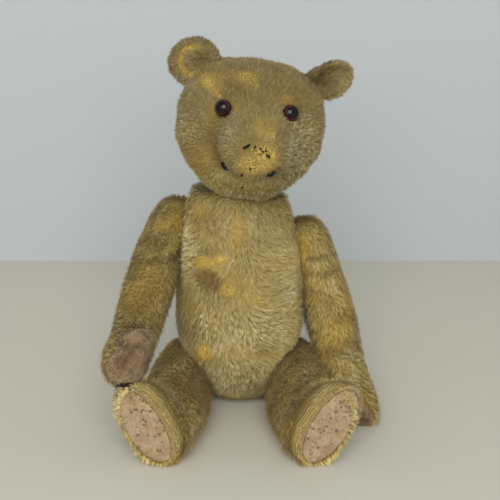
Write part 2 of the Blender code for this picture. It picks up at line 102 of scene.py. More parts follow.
# %% Set up the camera
CAMERA_AT = Vector((0.008, -0.7759, 0.3530))
CAMERA_TILT = math.radians(73.0)
LENS_MM, SENSOR_MM = 80.2, 36.0
BEAR_MIDDLE = Vector((0.008, -0.03, 0.125))


def put_in_scene(name, data):
    """A new object in the scene that shows a mesh, a camera or a light."""
    thing = bpy.data.objects.new(name, data)
    bpy.context.scene.collection.objects.link(thing)
    return thing


lens = bpy.data.cameras.new("studio_camera")
lens.lens = LENS_MM
lens.sensor_width = SENSOR_MM
camera = put_in_scene("studio_camera", lens)
camera.location = CAMERA_AT
camera.rotation_euler = (CAMERA_TILT, 0.0, 0.0)
bpy.context.scene.camera = camera
print("camera stands", round((CAMERA_AT - BEAR_MIDDLE).length, 2), "m away")

# %% [markdown]
# ### Shader helpers
# Blender builds a material from nodes and links. Small helpers keep that short to read: one
# adds a node with its inputs filled in, and the others do arithmetic, mix two colours, make a
# soft step or cloudy noise, and build or place a group of nodes. Colours are typed as they
# look on a screen, from 0 to 255, and turned into linear light.

# %% Helpers for colours, nodes and sums


def paint(red, green, blue):
    """A colour as it looks on a screen, in the linear light that shaders work in."""
    shown = np.array([red, green, blue]) / 255.0
    linear = np.where(shown < 0.04045, shown / 12.92, ((shown + 0.055) / 1.055) ** 2.4)
    return (*[float(c) for c in linear], 1.0)


def node(tree, kind, inputs=None, **settings):
    """One shader node. inputs holds plain values or other nodes' outputs."""
    made = tree.nodes.new(kind)
    for key, value in settings.items():
        setattr(made, key, value)
    for key, value in (inputs or {}).items():
        if isinstance(value, bpy.types.NodeSocket):
            tree.links.new(value, made.inputs[key])
        else:
            made.inputs[key].default_value = value
    return made


def calc(tree, kind, *values):
    """One arithmetic step on numbers or sockets."""
    return node(tree, "ShaderNodeMath", dict(enumerate(values)), operation=kind).outputs[0]


def mix(tree, amount, low, high, mode="MIX"):
    """low where amount is 0, high where it is 1."""
    made = node(tree, "ShaderNodeMix", {0: amount, 6: low, 7: high}, data_type="RGBA", blend_type=mode)
    return made.outputs[2]


print("white paint is", paint(255, 255, 255))

# %% Helpers for soft steps, noise and values on the mesh


def ramp(tree, value, low, high, start=0.0, end=1.0):
    """A soft step: start up to low, end from high on."""
    inputs = {"Value": value, "From Min": low, "From Max": high, "To Min": start, "To Max": end}
    return node(tree, "ShaderNodeMapRange", inputs, interpolation_type="SMOOTHSTEP").outputs[0]


def noise(tree, place, scale, detail=3.0, rough=0.55):
    """Cloudy noise from 0 to 1 over a place."""
    inputs = {"Vector": place, "Scale": scale, "Detail": detail, "Roughness": rough}
    return node(tree, "ShaderNodeTexNoise", inputs).outputs["Fac"]


def object_place(tree):
    """Where on the piece each point lies, in metres, which every pattern here starts from."""
    return node(tree, "ShaderNodeTexCoord").outputs["Object"]


def attribute(tree, name, vector=False):
    """A value that the mesh carries on its points."""
    made = node(tree, "ShaderNodeAttribute", attribute_name=name)
    return made.outputs["Vector" if vector else "Fac"]


print("step, noise and value helpers ready")

# %% Helpers for node groups and materials


def new_group(name, inputs, outputs):
    """An empty shader node group with named sockets, its input node and its output node."""
    group = bpy.data.node_groups.new(name, "ShaderNodeTree")
    kinds = {"value": "NodeSocketFloat", "colour": "NodeSocketColor", "vector": "NodeSocketVector"}
    for title, kind, start in inputs:
        socket = group.interface.new_socket(name=title, in_out="INPUT", socket_type=kinds[kind])
        if start is not None:
            socket.default_value = start
    for title, kind in outputs:
        group.interface.new_socket(name=title, in_out="OUTPUT", socket_type=kinds[kind])
    return group, group.nodes.new("NodeGroupInput"), group.nodes.new("NodeGroupOutput")


def place_group(tree, group, **inputs):
    """The group inside a material, with its own values."""
    made = node(tree, "ShaderNodeGroup", node_tree=group)
    for key, value in inputs.items():
        socket = made.inputs[key.replace("_", " ")]
        if isinstance(value, bpy.types.NodeSocket):
            tree.links.new(value, socket)
        else:
            socket.default_value = value
    return made


def new_material(name, **shader):
    """A material with one Principled shader, its constants set on the shader's own sockets."""
    material = bpy.data.materials.new(name)
    material.use_nodes = True
    tree = material.node_tree
    tree.nodes.clear()
    out = tree.nodes.new("ShaderNodeOutputMaterial")
    surface = node(tree, "ShaderNodeBsdfPrincipled", {k.replace("_", " "): v for k, v in shader.items()})
    tree.links.new(surface.outputs[0], out.inputs[0])
    return material, tree, surface


def bump(tree, surface, height, distance, strength=1.0):
    """Feeds a height to a Bump node, and its result to the shader's normal."""
    made = node(tree, "ShaderNodeBump", {"Height": height, "Distance": distance, "Strength": strength})
    tree.links.new(made.outputs[0], surface.inputs["Normal"])


print("group and material helpers ready")

# %% Lay the floor and the wall


def stage_sheet(name, corners, tint, grain):
    """A big flat sheet for the stage, with a faint cloudy tone. From behind it isn't seen."""
    mesh = bpy.data.meshes.new(name)
    mesh.from_pydata(corners, [], [(0, 1, 2, 3)])
    sheet = put_in_scene(name, mesh)
    material, tree, surface = new_material(name + "_finish", Roughness=0.75, Specular_IOR_Level=0.2)
    place = object_place(tree)
    cloud = noise(tree, place, grain)
    lighter = tuple(min(1.0, c * 1.05) for c in tint[:3]) + (1.0,)
    tree.links.new(mix(tree, cloud, tint, lighter), surface.inputs["Base Color"])
    behind = node(tree, "ShaderNodeNewGeometry").outputs["Backfacing"]
    tree.links.new(calc(tree, "SUBTRACT", 1.0, behind), surface.inputs["Alpha"])
    mesh.materials.append(material)


WALL_AT = 0.34
WIDE, FAR = 3, 2.5
floor_corners = [(-WIDE, -FAR, 0), (WIDE, -FAR, 0), (WIDE, FAR, 0), (-WIDE, FAR, 0)]
wall_corners = [(-WIDE, WALL_AT, 0), (WIDE, WALL_AT, 0), (WIDE, WALL_AT, FAR), (-WIDE, WALL_AT, FAR)]
stage_sheet("floor", floor_corners, paint(202, 199, 184), 2.0)
stage_sheet("wall", wall_corners, paint(186, 191, 194), 1.2)
print("floor and wall laid, wall at", WALL_AT, "m")

# %% Hang the lamps


def hang_lamp(name, place, aim, size, power, tint):
    """A soft square lamp at place that shines towards aim."""
    light = bpy.data.lights.new(name, "AREA")
    light.size = size
    light.energy = power
    light.color = tint
    lamp = put_in_scene(name, light)
    lamp.location = place
    lamp.rotation_euler = (Vector(aim) - Vector(place)).to_track_quat("-Z", "Y").to_euler()


hang_lamp("lamp_front", (0.0, -1.65, 1.0), (0, 0, 0.12), 1.2, 27.0, (1.0, 0.98, 0.94))
hang_lamp("lamp_side", (-0.8, -1.2, 0.6), (0, 0, 0.12), 0.9, 2.0, (0.97, 0.98, 1.0))
world = bpy.data.worlds.new("pale_room")
world.use_nodes = True
sky = world.node_tree.nodes["Background"]
sky.inputs["Color"].default_value = (0.86, 0.90, 0.95, 1.0)
sky.inputs["Strength"].default_value = 0.52
bpy.context.scene.world = world
bpy.context.scene.view_settings.view_transform = "Standard"
print("two lamps and a pale room")

# %% [markdown]
# ## From solids to skins
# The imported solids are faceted, with a cloth shell and a stuffing inside it. A stuffed part
# looks soft because its outside is one continuous, slightly lumpy surface. So each part's
# solids are copied and joined, remeshed into one closed skin of even small faces, and then
# smoothed. Plain smoothing shrinks a shape. Taubin's way goes one step in and a slightly
# larger step out each round, which melts the facets and keeps the size.

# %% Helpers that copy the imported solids
Skin = namedtuple("Skin", "piece body points normals corners")
Plane = namedtuple("Plane", "joint side reach slope")
WELD = 0.02 * MM
INNER_GROWTH = 1.1 * MM
FLOOR_CLEAR = 0.15 * MM


def freeze(piece):
    """Applies every modifier of a piece."""
    seen = piece.evaluated_get(bpy.context.evaluated_depsgraph_get())
    mesh = bpy.data.meshes.new_from_object(seen)
    piece.modifiers.clear()
    old = piece.data
    piece.data = mesh
    mesh.name = piece.name
    bpy.data.meshes.remove(old)


def copy_solids(name, nodes, swell=0.0):
    """A new object with the meshes of these solids.

    Inner solids, such as a stuffing, grow outwards by swell, so that they meet their cover.
    """
    joined = bmesh.new()
    for title in nodes:
        single = bmesh.new()
        single.from_mesh(frame["nodes"][title].data)
        bmesh.ops.remove_doubles(single, verts=single.verts, dist=WELD)
        single.normal_update()
        outer = title.endswith(("cover", "pin")) or title.startswith(("ear", "paw", "foot"))
        grow = 0.0 if outer else swell
        for vert in single.verts:
            vert.co += vert.normal * grow
        mesh = bpy.data.meshes.new(title + "_copy")
        single.to_mesh(mesh)
        joined.from_mesh(mesh)
        single.free()
        bpy.data.meshes.remove(mesh)
    mesh = bpy.data.meshes.new(name)
    joined.to_mesh(mesh)
    joined.free()
    return put_in_scene(name, mesh)


print("inner solids grow by", INNER_GROWTH / MM, "mm when copied")

# %% Helpers that remesh a piece into one closed skin


def remesh(piece, voxel):
    """One closed skin of even faces round everything in the piece."""
    step = piece.modifiers.new("even_faces", "REMESH")
    step.mode = "VOXEL"
    step.voxel_size = voxel
    freeze(piece)


def mesh_arrays(mesh):
    """A mesh's points and edges as arrays."""
    points = np.empty(len(mesh.vertices) * 3)
    mesh.vertices.foreach_get("co", points)
    edges = np.empty(len(mesh.edges) * 2, dtype=np.int64)
    mesh.edges.foreach_get("vertices", edges)
    return points.reshape(-1, 3), edges.reshape(-1, 2)


def keep_outermost(piece):
    """Drops everything but the biggest connected shell, such as bubbles inside the stuffing."""
    points, edges = mesh_arrays(piece.data)
    label = np.arange(len(points))
    while True:
        low = np.minimum(label[edges[:, 0]], label[edges[:, 1]])
        new = label.copy()
        np.minimum.at(new, edges[:, 0], low)
        np.minimum.at(new, edges[:, 1], low)
        new = new[new]
        if (new == label).all():
            break
        label = new
    main = np.bincount(label).argmax()
    shell = bmesh.new()
    shell.from_mesh(piece.data)
    shell.verts.ensure_lookup_table()
    loose = [shell.verts[i] for i in np.flatnonzero(label != main)]
    bmesh.ops.delete(shell, geom=loose, context="VERTS")
    shell.to_mesh(piece.data)
    shell.free()


print("remeshing helpers ready")

# %% Helpers that smooth a skin and keep it in its place


def even_out(points, edges, rounds, inwards=0.5, outwards=-0.53):
    """Taubin smoothing: a step towards the neighbours' middle, and a longer step back."""
    count = np.bincount(edges.ravel(), minlength=len(points))[:, None]
    for turn in range(rounds):
        for amount in (inwards, outwards):
            middle = np.empty_like(points)
            for axis in range(3):
                one = np.bincount(edges[:, 0], points[edges[:, 1], axis], len(points))
                two = np.bincount(edges[:, 1], points[edges[:, 0], axis], len(points))
                middle[:, axis] = one + two
            points = points + amount * (middle / count - points)
    return points


def keep_aside(points, planes, gap=0.1 * MM):
    """Pushes points back to their own side of the joint planes, and up to the floor.

    Beyond the reach of a joint's flat, points may swell past its plane at its slope.
    """
    for plane in planes:
        rise, across = joint_side(plane.joint, points)
        allowed = np.clip(across - plane.reach, 0.0, None) * plane.slope
        short = gap - allowed - rise * plane.side
        line = JOINT_PLANES[plane.joint][1]
        points = points + np.clip(short, 0.0, None)[:, None] * line * plane.side
    points[:, 2] = np.maximum(points[:, 2], FLOOR_CLEAR)
    return points


print("skins stay", FLOOR_CLEAR / MM, "mm above the floor")

# %% Helpers that write to a mesh and read it


def put_points(mesh, points):
    """Writes the points back into the mesh."""
    mesh.vertices.foreach_set("co", points.ravel())
    mesh.update()


def shade_smooth(mesh):
    """Lets the light run smoothly over the mesh's faces."""
    mesh.polygons.foreach_set("use_smooth", [True] * len(mesh.polygons))


def write_values(mesh, title, values):
    """Stores a number or a vector for each point of a mesh, for its material to read."""
    kind, field = ("FLOAT_VECTOR", "vector") if values.ndim == 2 else ("FLOAT", "value")
    held = mesh.attributes.new(title, kind, "POINT")
    held.data.foreach_set(field, np.ascontiguousarray(values).ravel())


def read_skin(piece, body):
    """The skin's points, outward normals and triangles as arrays."""
    mesh = piece.data
    points, edges = mesh_arrays(mesh)
    normals = np.empty(len(points) * 3)
    mesh.vertex_normals.foreach_get("vector", normals)
    mesh.calc_loop_triangles()
    corners = np.empty(len(mesh.loop_triangles) * 3, dtype=np.int64)
    mesh.loop_triangles.foreach_get("vertices", corners)
    return Skin(piece, body, points, normals.reshape(-1, 3), corners.reshape(-1, 3))


print("mesh helpers ready")

# %% Helpers that make a soft skin and swell it


def make_skin(name, body, nodes, voxel, rounds, planes, shape=None):
    """A soft closed skin for one stuffed part."""
    piece = copy_solids(name, nodes, INNER_GROWTH)
    remesh(piece, voxel)
    keep_outermost(piece)
    points, edges = mesh_arrays(piece.data)
    points = even_out(points, edges, rounds)
    if shape:
        put_points(piece.data, points)
        points = shape(points, read_skin(piece, body).normals)
    points = keep_aside(points, planes)
    put_points(piece.data, points)
    shade_smooth(piece.data)
    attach(piece, body)
    return read_skin(piece, body)


def swell_out(bumps, still=None):
    """A shape function: the skin swells along its normals round each bump's middle (all in mm).

    still is the direction in which a felt pad looks. Cloth that looks the same way stays put.
    """

    def shape(points, normals):
        lift = np.zeros(len(points))
        for across, front, up, reach, rise in bumps:
            away = np.linalg.norm(points / MM - (across, front, up), axis=1)
            lift += rise * np.exp(-((away / reach) ** 2))
        lift *= 1.0 if still is None else np.clip(2.2 - 3.0 * (normals @ still), 0, 1)
        return points + normals * lift[:, None] * MM

    return shape


print("skin helpers ready")

# %% Helpers that measure a felt pad
Oval = namedtuple("Oval", "middle facing along aside long wide")


def middle_of(title):
    """The middle of a node's box."""
    low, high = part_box(title)
    return np.array((low + high) / 2)


def pad_oval(solid):
    """A pad's middle, its three directions and its half length and width, from its own points."""
    points = mesh_arrays(frame["nodes"][solid].data)[0]
    middle = (points.max(axis=0) + points.min(axis=0)) / 2
    aside, along, facing = np.linalg.svd(points - points.mean(axis=0), full_matrices=False)[2][[1, 0, 2]]
    facing = facing * -np.sign(facing[1])
    along = along * np.sign(along[2])
    aside = aside * -np.sign(aside[0] * middle[0])
    long, wide = (np.abs((points - middle) @ way).max() for way in (along, aside))
    return Oval(middle, facing, along, aside, long, wide)


def oval_reach(oval, points, shift=0.0, narrow=1.0, lean=0.0):
    """0 in the middle of the pad and 1 at its rim.

    The oval can be shifted outwards and narrowed, as shares of its width, and leant by an angle.
    """
    local = points - oval.middle
    along = local @ oval.along * math.cos(lean) - local @ oval.aside * math.sin(lean)
    aside = local @ oval.aside * math.cos(lean) + local @ oval.along * math.sin(lean)
    return np.hypot(along / oval.long, (aside / oval.wide + shift) / narrow)


print("pad helpers ready")

# %% [markdown]
# ## Skinning the stuffed parts
# A skin keeps to its own side of each joint plane that it meets. Only beyond the reach of the
# joint's flat may the plush swell past the plane, as it does where a belly rests on thighs.
# Plush also bulges where the stuffing was pushed in hardest: over the thighs, inside the legs
# and at the toes. A sculpted solid could carry those bulges, but a short list of round
# swellings is quicker to adjust, and leaves the solids as they are.

# %% Say which planes each part keeps to
TORSO_PLANES = [Plane("neck_swivel", -1, 30 * MM, 0.0)]
TORSO_PLANES += [Plane("shoulder_right_turn", -1, 24 * MM, 0.3), Plane("shoulder_left_turn", 1, 24 * MM, 0.3)]
TORSO_PLANES += [Plane("hip_right_turn", -1, 22 * MM, 2.2), Plane("hip_left_turn", 1, 22 * MM, 2.2)]
HEAD_PLANES = [Plane("neck_swivel", 1, 30 * MM, 0.3)]
PLANE_OF = {
    "arm_right": Plane("shoulder_right_turn", 1, 24 * MM, 0.4),
    "arm_left": Plane("shoulder_left_turn", -1, 24 * MM, 0.4),
    "leg_right": Plane("hip_right_turn", 1, 24 * MM, 0.4),
    "leg_left": Plane("hip_left_turn", -1, 24 * MM, 0.4),
}
TORSO_VOXEL, FINE_VOXEL, THIN_VOXEL = 2.0 * MM, 1.8 * MM, 0.9 * MM
JOINT_WORD = {"arm": "shoulder", "leg": "hip"}
PAD_WORD = {"arm": "paw", "leg": "foot"}
SIDES = ("right", "left")
print(len(TORSO_PLANES), "planes for the torso,", len(PLANE_OF), "limbs with one each")

# %% Place the swellings: across, front, up, reach and rise in mm
BUMPS = {
    "torso": [(-31, -32, 49, 15, 6.5), (32, -32, 51, 14, 5.0)],
    "arm_right": [(-72, -10, 105, 28, 2.2), (-90, -45, 78, 24, 1.8)],
    "arm_left": [(50, -18, 60, 24, 5.0), (47, -10, 86, 20, 2.5)],
    "leg_right": [(-30, -85, 24, 26, 4.0), (-27, -58, 12, 24, 3.5)],
    "leg_left": [(31, -85, 24, 26, 4.5), (28, -58, 12, 24, 3.5)],
}
BUMPS["arm_left"] += [(84, -20, 80, 24, 1.8), (92, -38, 20, 20, 2.0)]
TOE_REACH, TOE_RISE = 15, 4.5
print(sum(len(bumps) for bumps in BUMPS.values()), "swellings besides the toes")

# %% Skin the torso
torso_nodes = ["torso_cover", "torso_stuffing", "torso_neck_disc", "neck_pin"]
for where in JOINT_WORD.values():
    for side in SIDES:
        torso_nodes += [f"torso_{where}_{side}_disc", f"{where}_{side}_pin"]
torso_shape = swell_out(BUMPS["torso"])
torso_skin = make_skin("torso_cloth", "torso", torso_nodes, TORSO_VOXEL, 90, TORSO_PLANES, torso_shape)
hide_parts("torso_cover", "torso_stuffing")
print("torso skinned from", len(torso_nodes), "solids")

# %% Skin the head, and press in the folds of its face
MUZZLE_FOLD = [(-21, 62), (-25, 55), (-26.5, 45), (-25, 37), (-21, 30)]
MOUTH_FOLD = [(-21, 31), (-13, 25.5), (-3, 23), (7, 25.5), (15, 31)]
MUZZLE_DEPTH, MOUTH_DEPTH, FOLD_WIDE = 3.4, 1.6, 3.0


def in_fold(local, fold, wide):
    """1 on the line of a fold in the face, and less beside it."""
    spots = np.array([np.interp(np.linspace(0, 4, 17), range(5), way) for way in zip(*fold)]).T
    away = np.min([np.hypot(local[:, 0] - x, local[:, 2] - z) for x, z in spots], axis=0)
    return np.exp(-((away / wide) ** 2)) * (local[:, 1] < 0)


def fold_muzzle(points, normals):
    """Presses in the fold beside the muzzle and the one under the mouth."""
    local = in_head(points)
    depth = MUZZLE_DEPTH * in_fold(local, MUZZLE_FOLD, FOLD_WIDE)
    depth = depth + MOUTH_DEPTH * in_fold(local, MOUTH_FOLD, FOLD_WIDE)
    return points - normals * depth[:, None] * MM


head_nodes = ["head_cover", "head_stuffing", "head_neck_disc", "neck_pin"]
head_skin = make_skin("head_cloth", "head", head_nodes, FINE_VOXEL, 110, HEAD_PLANES, fold_muzzle)
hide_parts("head_cover", "head_stuffing")
print("head skinned, with a fold", MUZZLE_DEPTH, "mm deep beside the muzzle")

# %% Skin the arms and legs
limb_skins = {}
for limb, plane in PLANE_OF.items():
    kind, side = limb.split("_")
    word, pad = JOINT_WORD[kind], f"{PAD_WORD[kind]}_pad_{side}"
    nodes = [f"{limb}_cover", f"{limb}_stuffing", f"{kind}_{word}_{side}_disc", f"{word}_{side}_pin", pad]
    oval = pad_oval(pad)
    toes = (*(oval.middle + oval.along * oval.long) / MM, TOE_REACH, TOE_RISE)
    limb_shape = swell_out(BUMPS[limb] + [toes] * (kind == "leg"), oval.facing)
    limb_skins[limb] = make_skin(f"{limb}_cloth", limb, nodes, FINE_VOXEL, 60, [plane], limb_shape)
    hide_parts(f"{limb}_cover", f"{limb}_stuffing")
for skin in [torso_skin, head_skin, *limb_skins.values()]:
    size = skin.points.max(axis=0) - skin.points.min(axis=0)
    print(skin.piece.name, len(skin.points), "points,", (size / MM).round(1).tolist(), "mm")

# %% [markdown]
# ## Where the bear is worn
# Mohair wears where hands, kisses and moths have been. On this bear the pile is thin or gone
# on the brow, the muzzle and in small spots on the chest, where the golden woven ground
# shows, and brown with age in a few stains. Each mark is typed as an oval on the part: where
# its middle is across and up, how wide and high it is, and how strong. Both the cloth and
# the pile read the same marks, so a bald patch lines up in both.

# %% Helpers that place worn marks
Mark = namedtuple("Mark", "across up wide high strength")
# Besides real stains, the stain mark holds painted shade: in the face's folds, round the eyes, in the right
# ear's hollow, in the elbows' creases and on the thighs under the belly. Besides bleached places, the cream
# mark holds painted light on the legs where they face each other.
Marks = namedtuple("Marks", "bald gold stain cream")
RAG_START, RAG_SOFT = 0.42, 0.22


def ripple(points, size, seed):
    """Smooth noise from about -1 to 1, made of a few crossing waves of about this size."""
    rng = np.random.default_rng(seed)
    total = np.zeros(len(points))
    for _ in range(7):
        line = rng.normal(size=3)
        line *= 2 * math.pi / (size * rng.uniform(0.7, 1.6)) / np.linalg.norm(line)
        total += np.sin(points @ line + rng.uniform(0, 6.28))
    return total / 2.6


def in_marks(across, up, front, marks):
    """How strongly each point lies in any of the oval marks, from 0 to 1."""
    total = np.zeros(len(across))
    for mark in marks:
        reach = np.hypot((across - mark.across) / mark.wide, (up - mark.up) / mark.high)
        soft = np.clip(1.35 - reach, 0.0, 0.7) / 0.7
        total = np.maximum(total, soft * soft * (3 - 2 * soft) * mark.strength)
    return total * front


def rag(value, points, size, seed, much=0.5):
    """Makes the border of a mark ragged and steep, so that pile and bare ground stay apart."""
    uneven = value * (1.0 + much * ripple(points, size, seed))
    return np.clip((uneven - RAG_START) / RAG_SOFT, 0.0, 1.0)


def frontness(normals, start, soft):
    """1 where the cloth looks to the front, 0 behind, with a soft border between."""
    return np.clip(start - normals[:, 1], 0.0, soft) / soft


def marks_from(bald, *others):
    """The four kinds of mark, with gold, stain and cream kept between 0 and 1."""
    return Marks(bald, *[np.clip(value, 0, 1) for value in others])


print("worn marks ready")

# %% Type the worn marks of the torso
TORSO_BALD = [Mark(-23.3, 115, 5.0, 3.2, 0.7), Mark(-11.5, 120.7, 4.0, 2.4, 0.65)]
TORSO_BALD += [Mark(-7.4, 98.5, 3.6, 2.8, 1.2), Mark(-24.2, 51.9, 2.9, 2.7, 1.5)]
TORSO_BALD += [Mark(1.5, 148, 1.3, 9, 0.5), Mark(-1.7, 128, 1.3, 12, 0.5), Mark(-1.8, 98, 1.2, 14, 0.4)]
TORSO_GOLD = [Mark(-23, 115, 8, 6, 0.9), Mark(-8, 99, 7, 5, 0.8), Mark(-11.5, 120.7, 6, 4, 0.8)]
TORSO_GOLD += [Mark(-1, 136, 5, 20, 0.5), Mark(-24.2, 51.7, 6, 6, 1.0), Mark(16, 92, 14, 8, 0.3)]
TORSO_GOLD += [Mark(-24, 152, 7, 5, 0.6), Mark(-14, 106, 16, 13, 0.35)]
TORSO_STAIN = [Mark(-19, 106.5, 8.5, 7, 0.85), Mark(-18.5, 125.6, 8, 3.5, 0.6), Mark(22, 150, 12, 9, 0.35)]
TORSO_STAIN += [Mark(-22, 147, 12, 8, 0.3), Mark(14, 57, 12, 6, 0.25)]
TORSO_CREAM = [Mark(-36, 124, 9, 16, 1.0), Mark(24, 98, 14, 30, 0.45), Mark(-14, 72, 13, 15, 0.8)]
TORSO_CREAM += [Mark(14, 70, 16, 14, 0.6), Mark(0, 34, 24, 18, 1.0)]


def torso_marks(points, normals):
    """The torso's worn, golden, stained and bleached places."""
    across, up = points[:, 0] / MM, points[:, 2] / MM
    front = frontness(normals, 0.25, 0.5)
    bald = rag(in_marks(across, up, front, TORSO_BALD), points, 2.2 * MM, 11, 0.8)
    gold = in_marks(across, up, front, TORSO_GOLD) + 0.25 * ripple(points, 30 * MM, 12)
    stain = in_marks(across, up, front, TORSO_STAIN) + 0.2 * ripple(points, 38 * MM, 13)
    cream = in_marks(across, up, front, TORSO_CREAM) + 0.3 * ripple(points, 22 * MM, 14)
    return marks_from(bald, gold, stain, cream)


print("torso marks typed")

# %% [markdown]
# ## Growing the pile
# Hair particles can't travel with a mesh file, so the pile here is real mesh. Each strand is
# a slim blade of two triangles, pointed at both ends and widest at its bend, that stands up
# from the cloth and then leans over. Two triangles are the fewest that can bend, so there is
# enough left for a dense pile. Roots are strewn evenly over the skin. Neighbouring strands
# gather into small locks, as old mohair does, and share a direction, a length and a tone. The
# strand's shading normal leans towards the cloth's own, which makes the pile look soft.

# %% Helpers that strew roots and give them a direction
Pile = namedtuple("Pile", "count length wide lift bend lock gather")
LOCK_STRAY, STRAND_STRAY, TIP_STRAY = 0.30, 0.20, 0.18
ROOT_DEPTH = 0.3 * MM


def unit(vectors):
    """The vectors at length one."""
    return vectors / np.maximum(np.linalg.norm(vectors, axis=1), 1e-9)[:, None]


def strew_roots(skin, count, rng):
    """Evenly strewn places on the skin, with its normals there."""
    a, b, c = (skin.points[skin.corners[:, i]] for i in range(3))
    area = np.linalg.norm(np.cross(b - a, c - a), axis=1)
    steps = np.cumsum(area) / area.sum()
    pick = np.searchsorted(steps, (np.arange(count) + rng.random(count)) / count)
    pick = np.minimum(pick, len(area) - 1)
    one, two = rng.random(count), rng.random(count)
    flip = one + two > 1
    one[flip], two[flip] = 1 - one[flip], 1 - two[flip]
    mix_in = (1 - one - two, one, two)

    def blend(values):
        return sum(share[:, None] * values[skin.corners[pick, i]] for i, share in enumerate(mix_in))

    return blend(skin.points), unit(blend(skin.normals))


def along_cloth(directions, normals):
    """The directions laid flat on the cloth."""
    flat = directions - np.sum(directions * normals, axis=1)[:, None] * normals
    return unit(flat)


def point_tree(points):
    """A search tree that finds the nearest of many points."""
    tree = KDTree(len(points))
    for i, point in enumerate(points):
        tree.insert(point, i)
    tree.balance()
    return tree


def nearest(points, centres):
    """For each point, the number of the nearest centre."""
    tree = point_tree(centres)
    return np.array([tree.find(point)[1] for point in points])


print("strewing helpers ready")

# %% Helper that turns strands into one mesh


def blade_mesh(name, spine, across, normals, values):
    """Strands as slim blades.

    spine is each strand's root, bend and tip, and across is half its width at the bend. Every
    strand has its own cell in the UV map, so that a baked texture gives each its own colour.
    """
    root, middle, tip = spine
    count = len(root)
    corners = np.stack([root, middle + across, middle - across, tip], 1)
    first = np.arange(count)[:, None] * 4
    loops = (first + np.array([0, 1, 2, 2, 1, 3])).ravel()
    mesh = bpy.data.meshes.new(name)
    mesh.vertices.add(count * 4)
    mesh.loops.add(count * 6)
    mesh.polygons.add(count * 2)
    mesh.vertices.foreach_set("co", corners.ravel())
    mesh.loops.foreach_set("vertex_index", loops.astype(np.int32))
    mesh.polygons.foreach_set("loop_start", (np.arange(count * 2) * 3).astype(np.int32))
    mesh.update(calc_edges=True)
    grid = math.ceil(math.sqrt(count))
    cell = np.stack([np.arange(count) % grid, np.arange(count) // grid], 1)
    spot = np.array([(0.1, 0.1), (0.9, 0.1), (0.1, 0.9), (0.1, 0.9), (0.9, 0.1), (0.9, 0.9)])
    layer = mesh.uv_layers.new(name="OFBake")
    layer.data.foreach_set("uv", ((cell[:, None, :] + spot[None]) / grid).ravel())
    for title, value in values.items():
        write_values(mesh, title, np.repeat(value, 4, axis=0))
    write_values(mesh, "along", np.tile([0.0, 0.5, 0.5, 1.0], count))
    ahead = unit(np.cross(across, middle - root))
    soft = unit(normals + ahead * 0.7)
    shade_smooth(mesh)
    mesh.normals_split_custom_set_from_vertices(np.repeat(soft, 4, axis=0))
    return mesh


print("blade helper ready")

# %% Helper that grows a part's pile


def grow_pile(name, skin, marks_of, flow_of, pile, planes, finish, seed, hold=None, cloth="mohair_plush"):
    """The worn pile of one part as one mesh that rides with it.

    hold gives each root's share of the full length, 0 where nothing grows, and how much
    steeper than the rest it stands. The random numbers are drawn in a fixed order from seed.
    """
    rng = np.random.default_rng(seed)
    roots, normals = strew_roots(skin, pile.count, rng)
    marks = marks_of(roots, normals)
    share, stand = hold(roots, normals) if hold else np.ones((2, len(roots)))
    keep = (rng.random(len(roots)) > marks.bald * 0.95) & (share > 0.05)
    for plane in planes:
        rise, across = joint_side(plane.joint, roots)
        keep &= (rise * plane.side > 0.5 * MM) | (across > plane.reach)
    roots, normals, share, stand = roots[keep], normals[keep], share[keep], stand[keep]
    marks = Marks(*[value[keep] for value in marks])
    count = len(roots)
    chosen = rng.choice(count, max(count // pile.lock, 1), replace=False)
    lock = nearest(roots, roots[chosen])
    lead = chosen[lock]
    flow = along_cloth(flow_of(roots, normals), normals)
    flow = along_cloth(flow[lead] + LOCK_STRAY * rng.normal(size=(count, 3))[lead], normals)
    flow = along_cloth(flow + STRAND_STRAY * rng.normal(size=(count, 3)), normals)
    lift = pile.lift * stand * np.exp(0.35 * rng.normal(size=count)[lead] + 0.3 * rng.normal(size=count))
    length = pile.length * share * (1 - 0.7 * marks.bald)
    length = length * rng.uniform(0.8, 1.15, count)[lead] * rng.uniform(0.65, 1.15, count)
    rising = unit(normals * lift[:, None] + flow)
    falling = unit(normals * lift[:, None] * pile.bend + flow + TIP_STRAY * rng.normal(size=(count, 3)))
    root = roots - normals * ROOT_DEPTH
    middle = root + rising * (length * 0.5)[:, None]
    tip = middle + falling * (length * 0.5)[:, None]
    pull = (pile.gather * rng.uniform(0.4, 1.0, count))[:, None]
    tip = tip + pull * (tip[lead] - tip)
    middle = middle + 0.4 * pull * (middle[lead] - middle)
    middle, tip = keep_aside(middle, planes), keep_aside(tip, planes)
    twist = rng.uniform(-0.6, 0.6, count)[:, None]
    across = unit(np.cross(rising, normals))
    across = across * np.cos(twist) + np.cross(rising, across) * np.sin(twist)
    across = across * (pile.wide * rng.uniform(0.7, 1.2, count) / 2)[:, None]
    values = {"place": roots, "strand": rng.random(count), "lock": rng.random(count)[lead]}
    values.update({"gold": marks.gold, "stain": marks.stain, "cream": marks.cream})
    mesh = blade_mesh(name, (root, middle, tip), across, normals, values)
    mesh.materials.append(finish)
    piece = put_in_scene(name, mesh)
    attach(piece, skin.body)
    print(name, count, "strands,", count * 2, "triangles")


print("pile helper ready")

# %% [markdown]
# ## The colours of old mohair
# Each strand is dark and golden at its root and pale at its tip, because light and dust reach
# the tips first. Locks differ a little in tone. Handling has left golden rubbed places, brown
# stains and bleached, creamy ones. All stuffed parts share this, so it is a node group: it
# takes the marks that the mesh carries and gives back one colour.

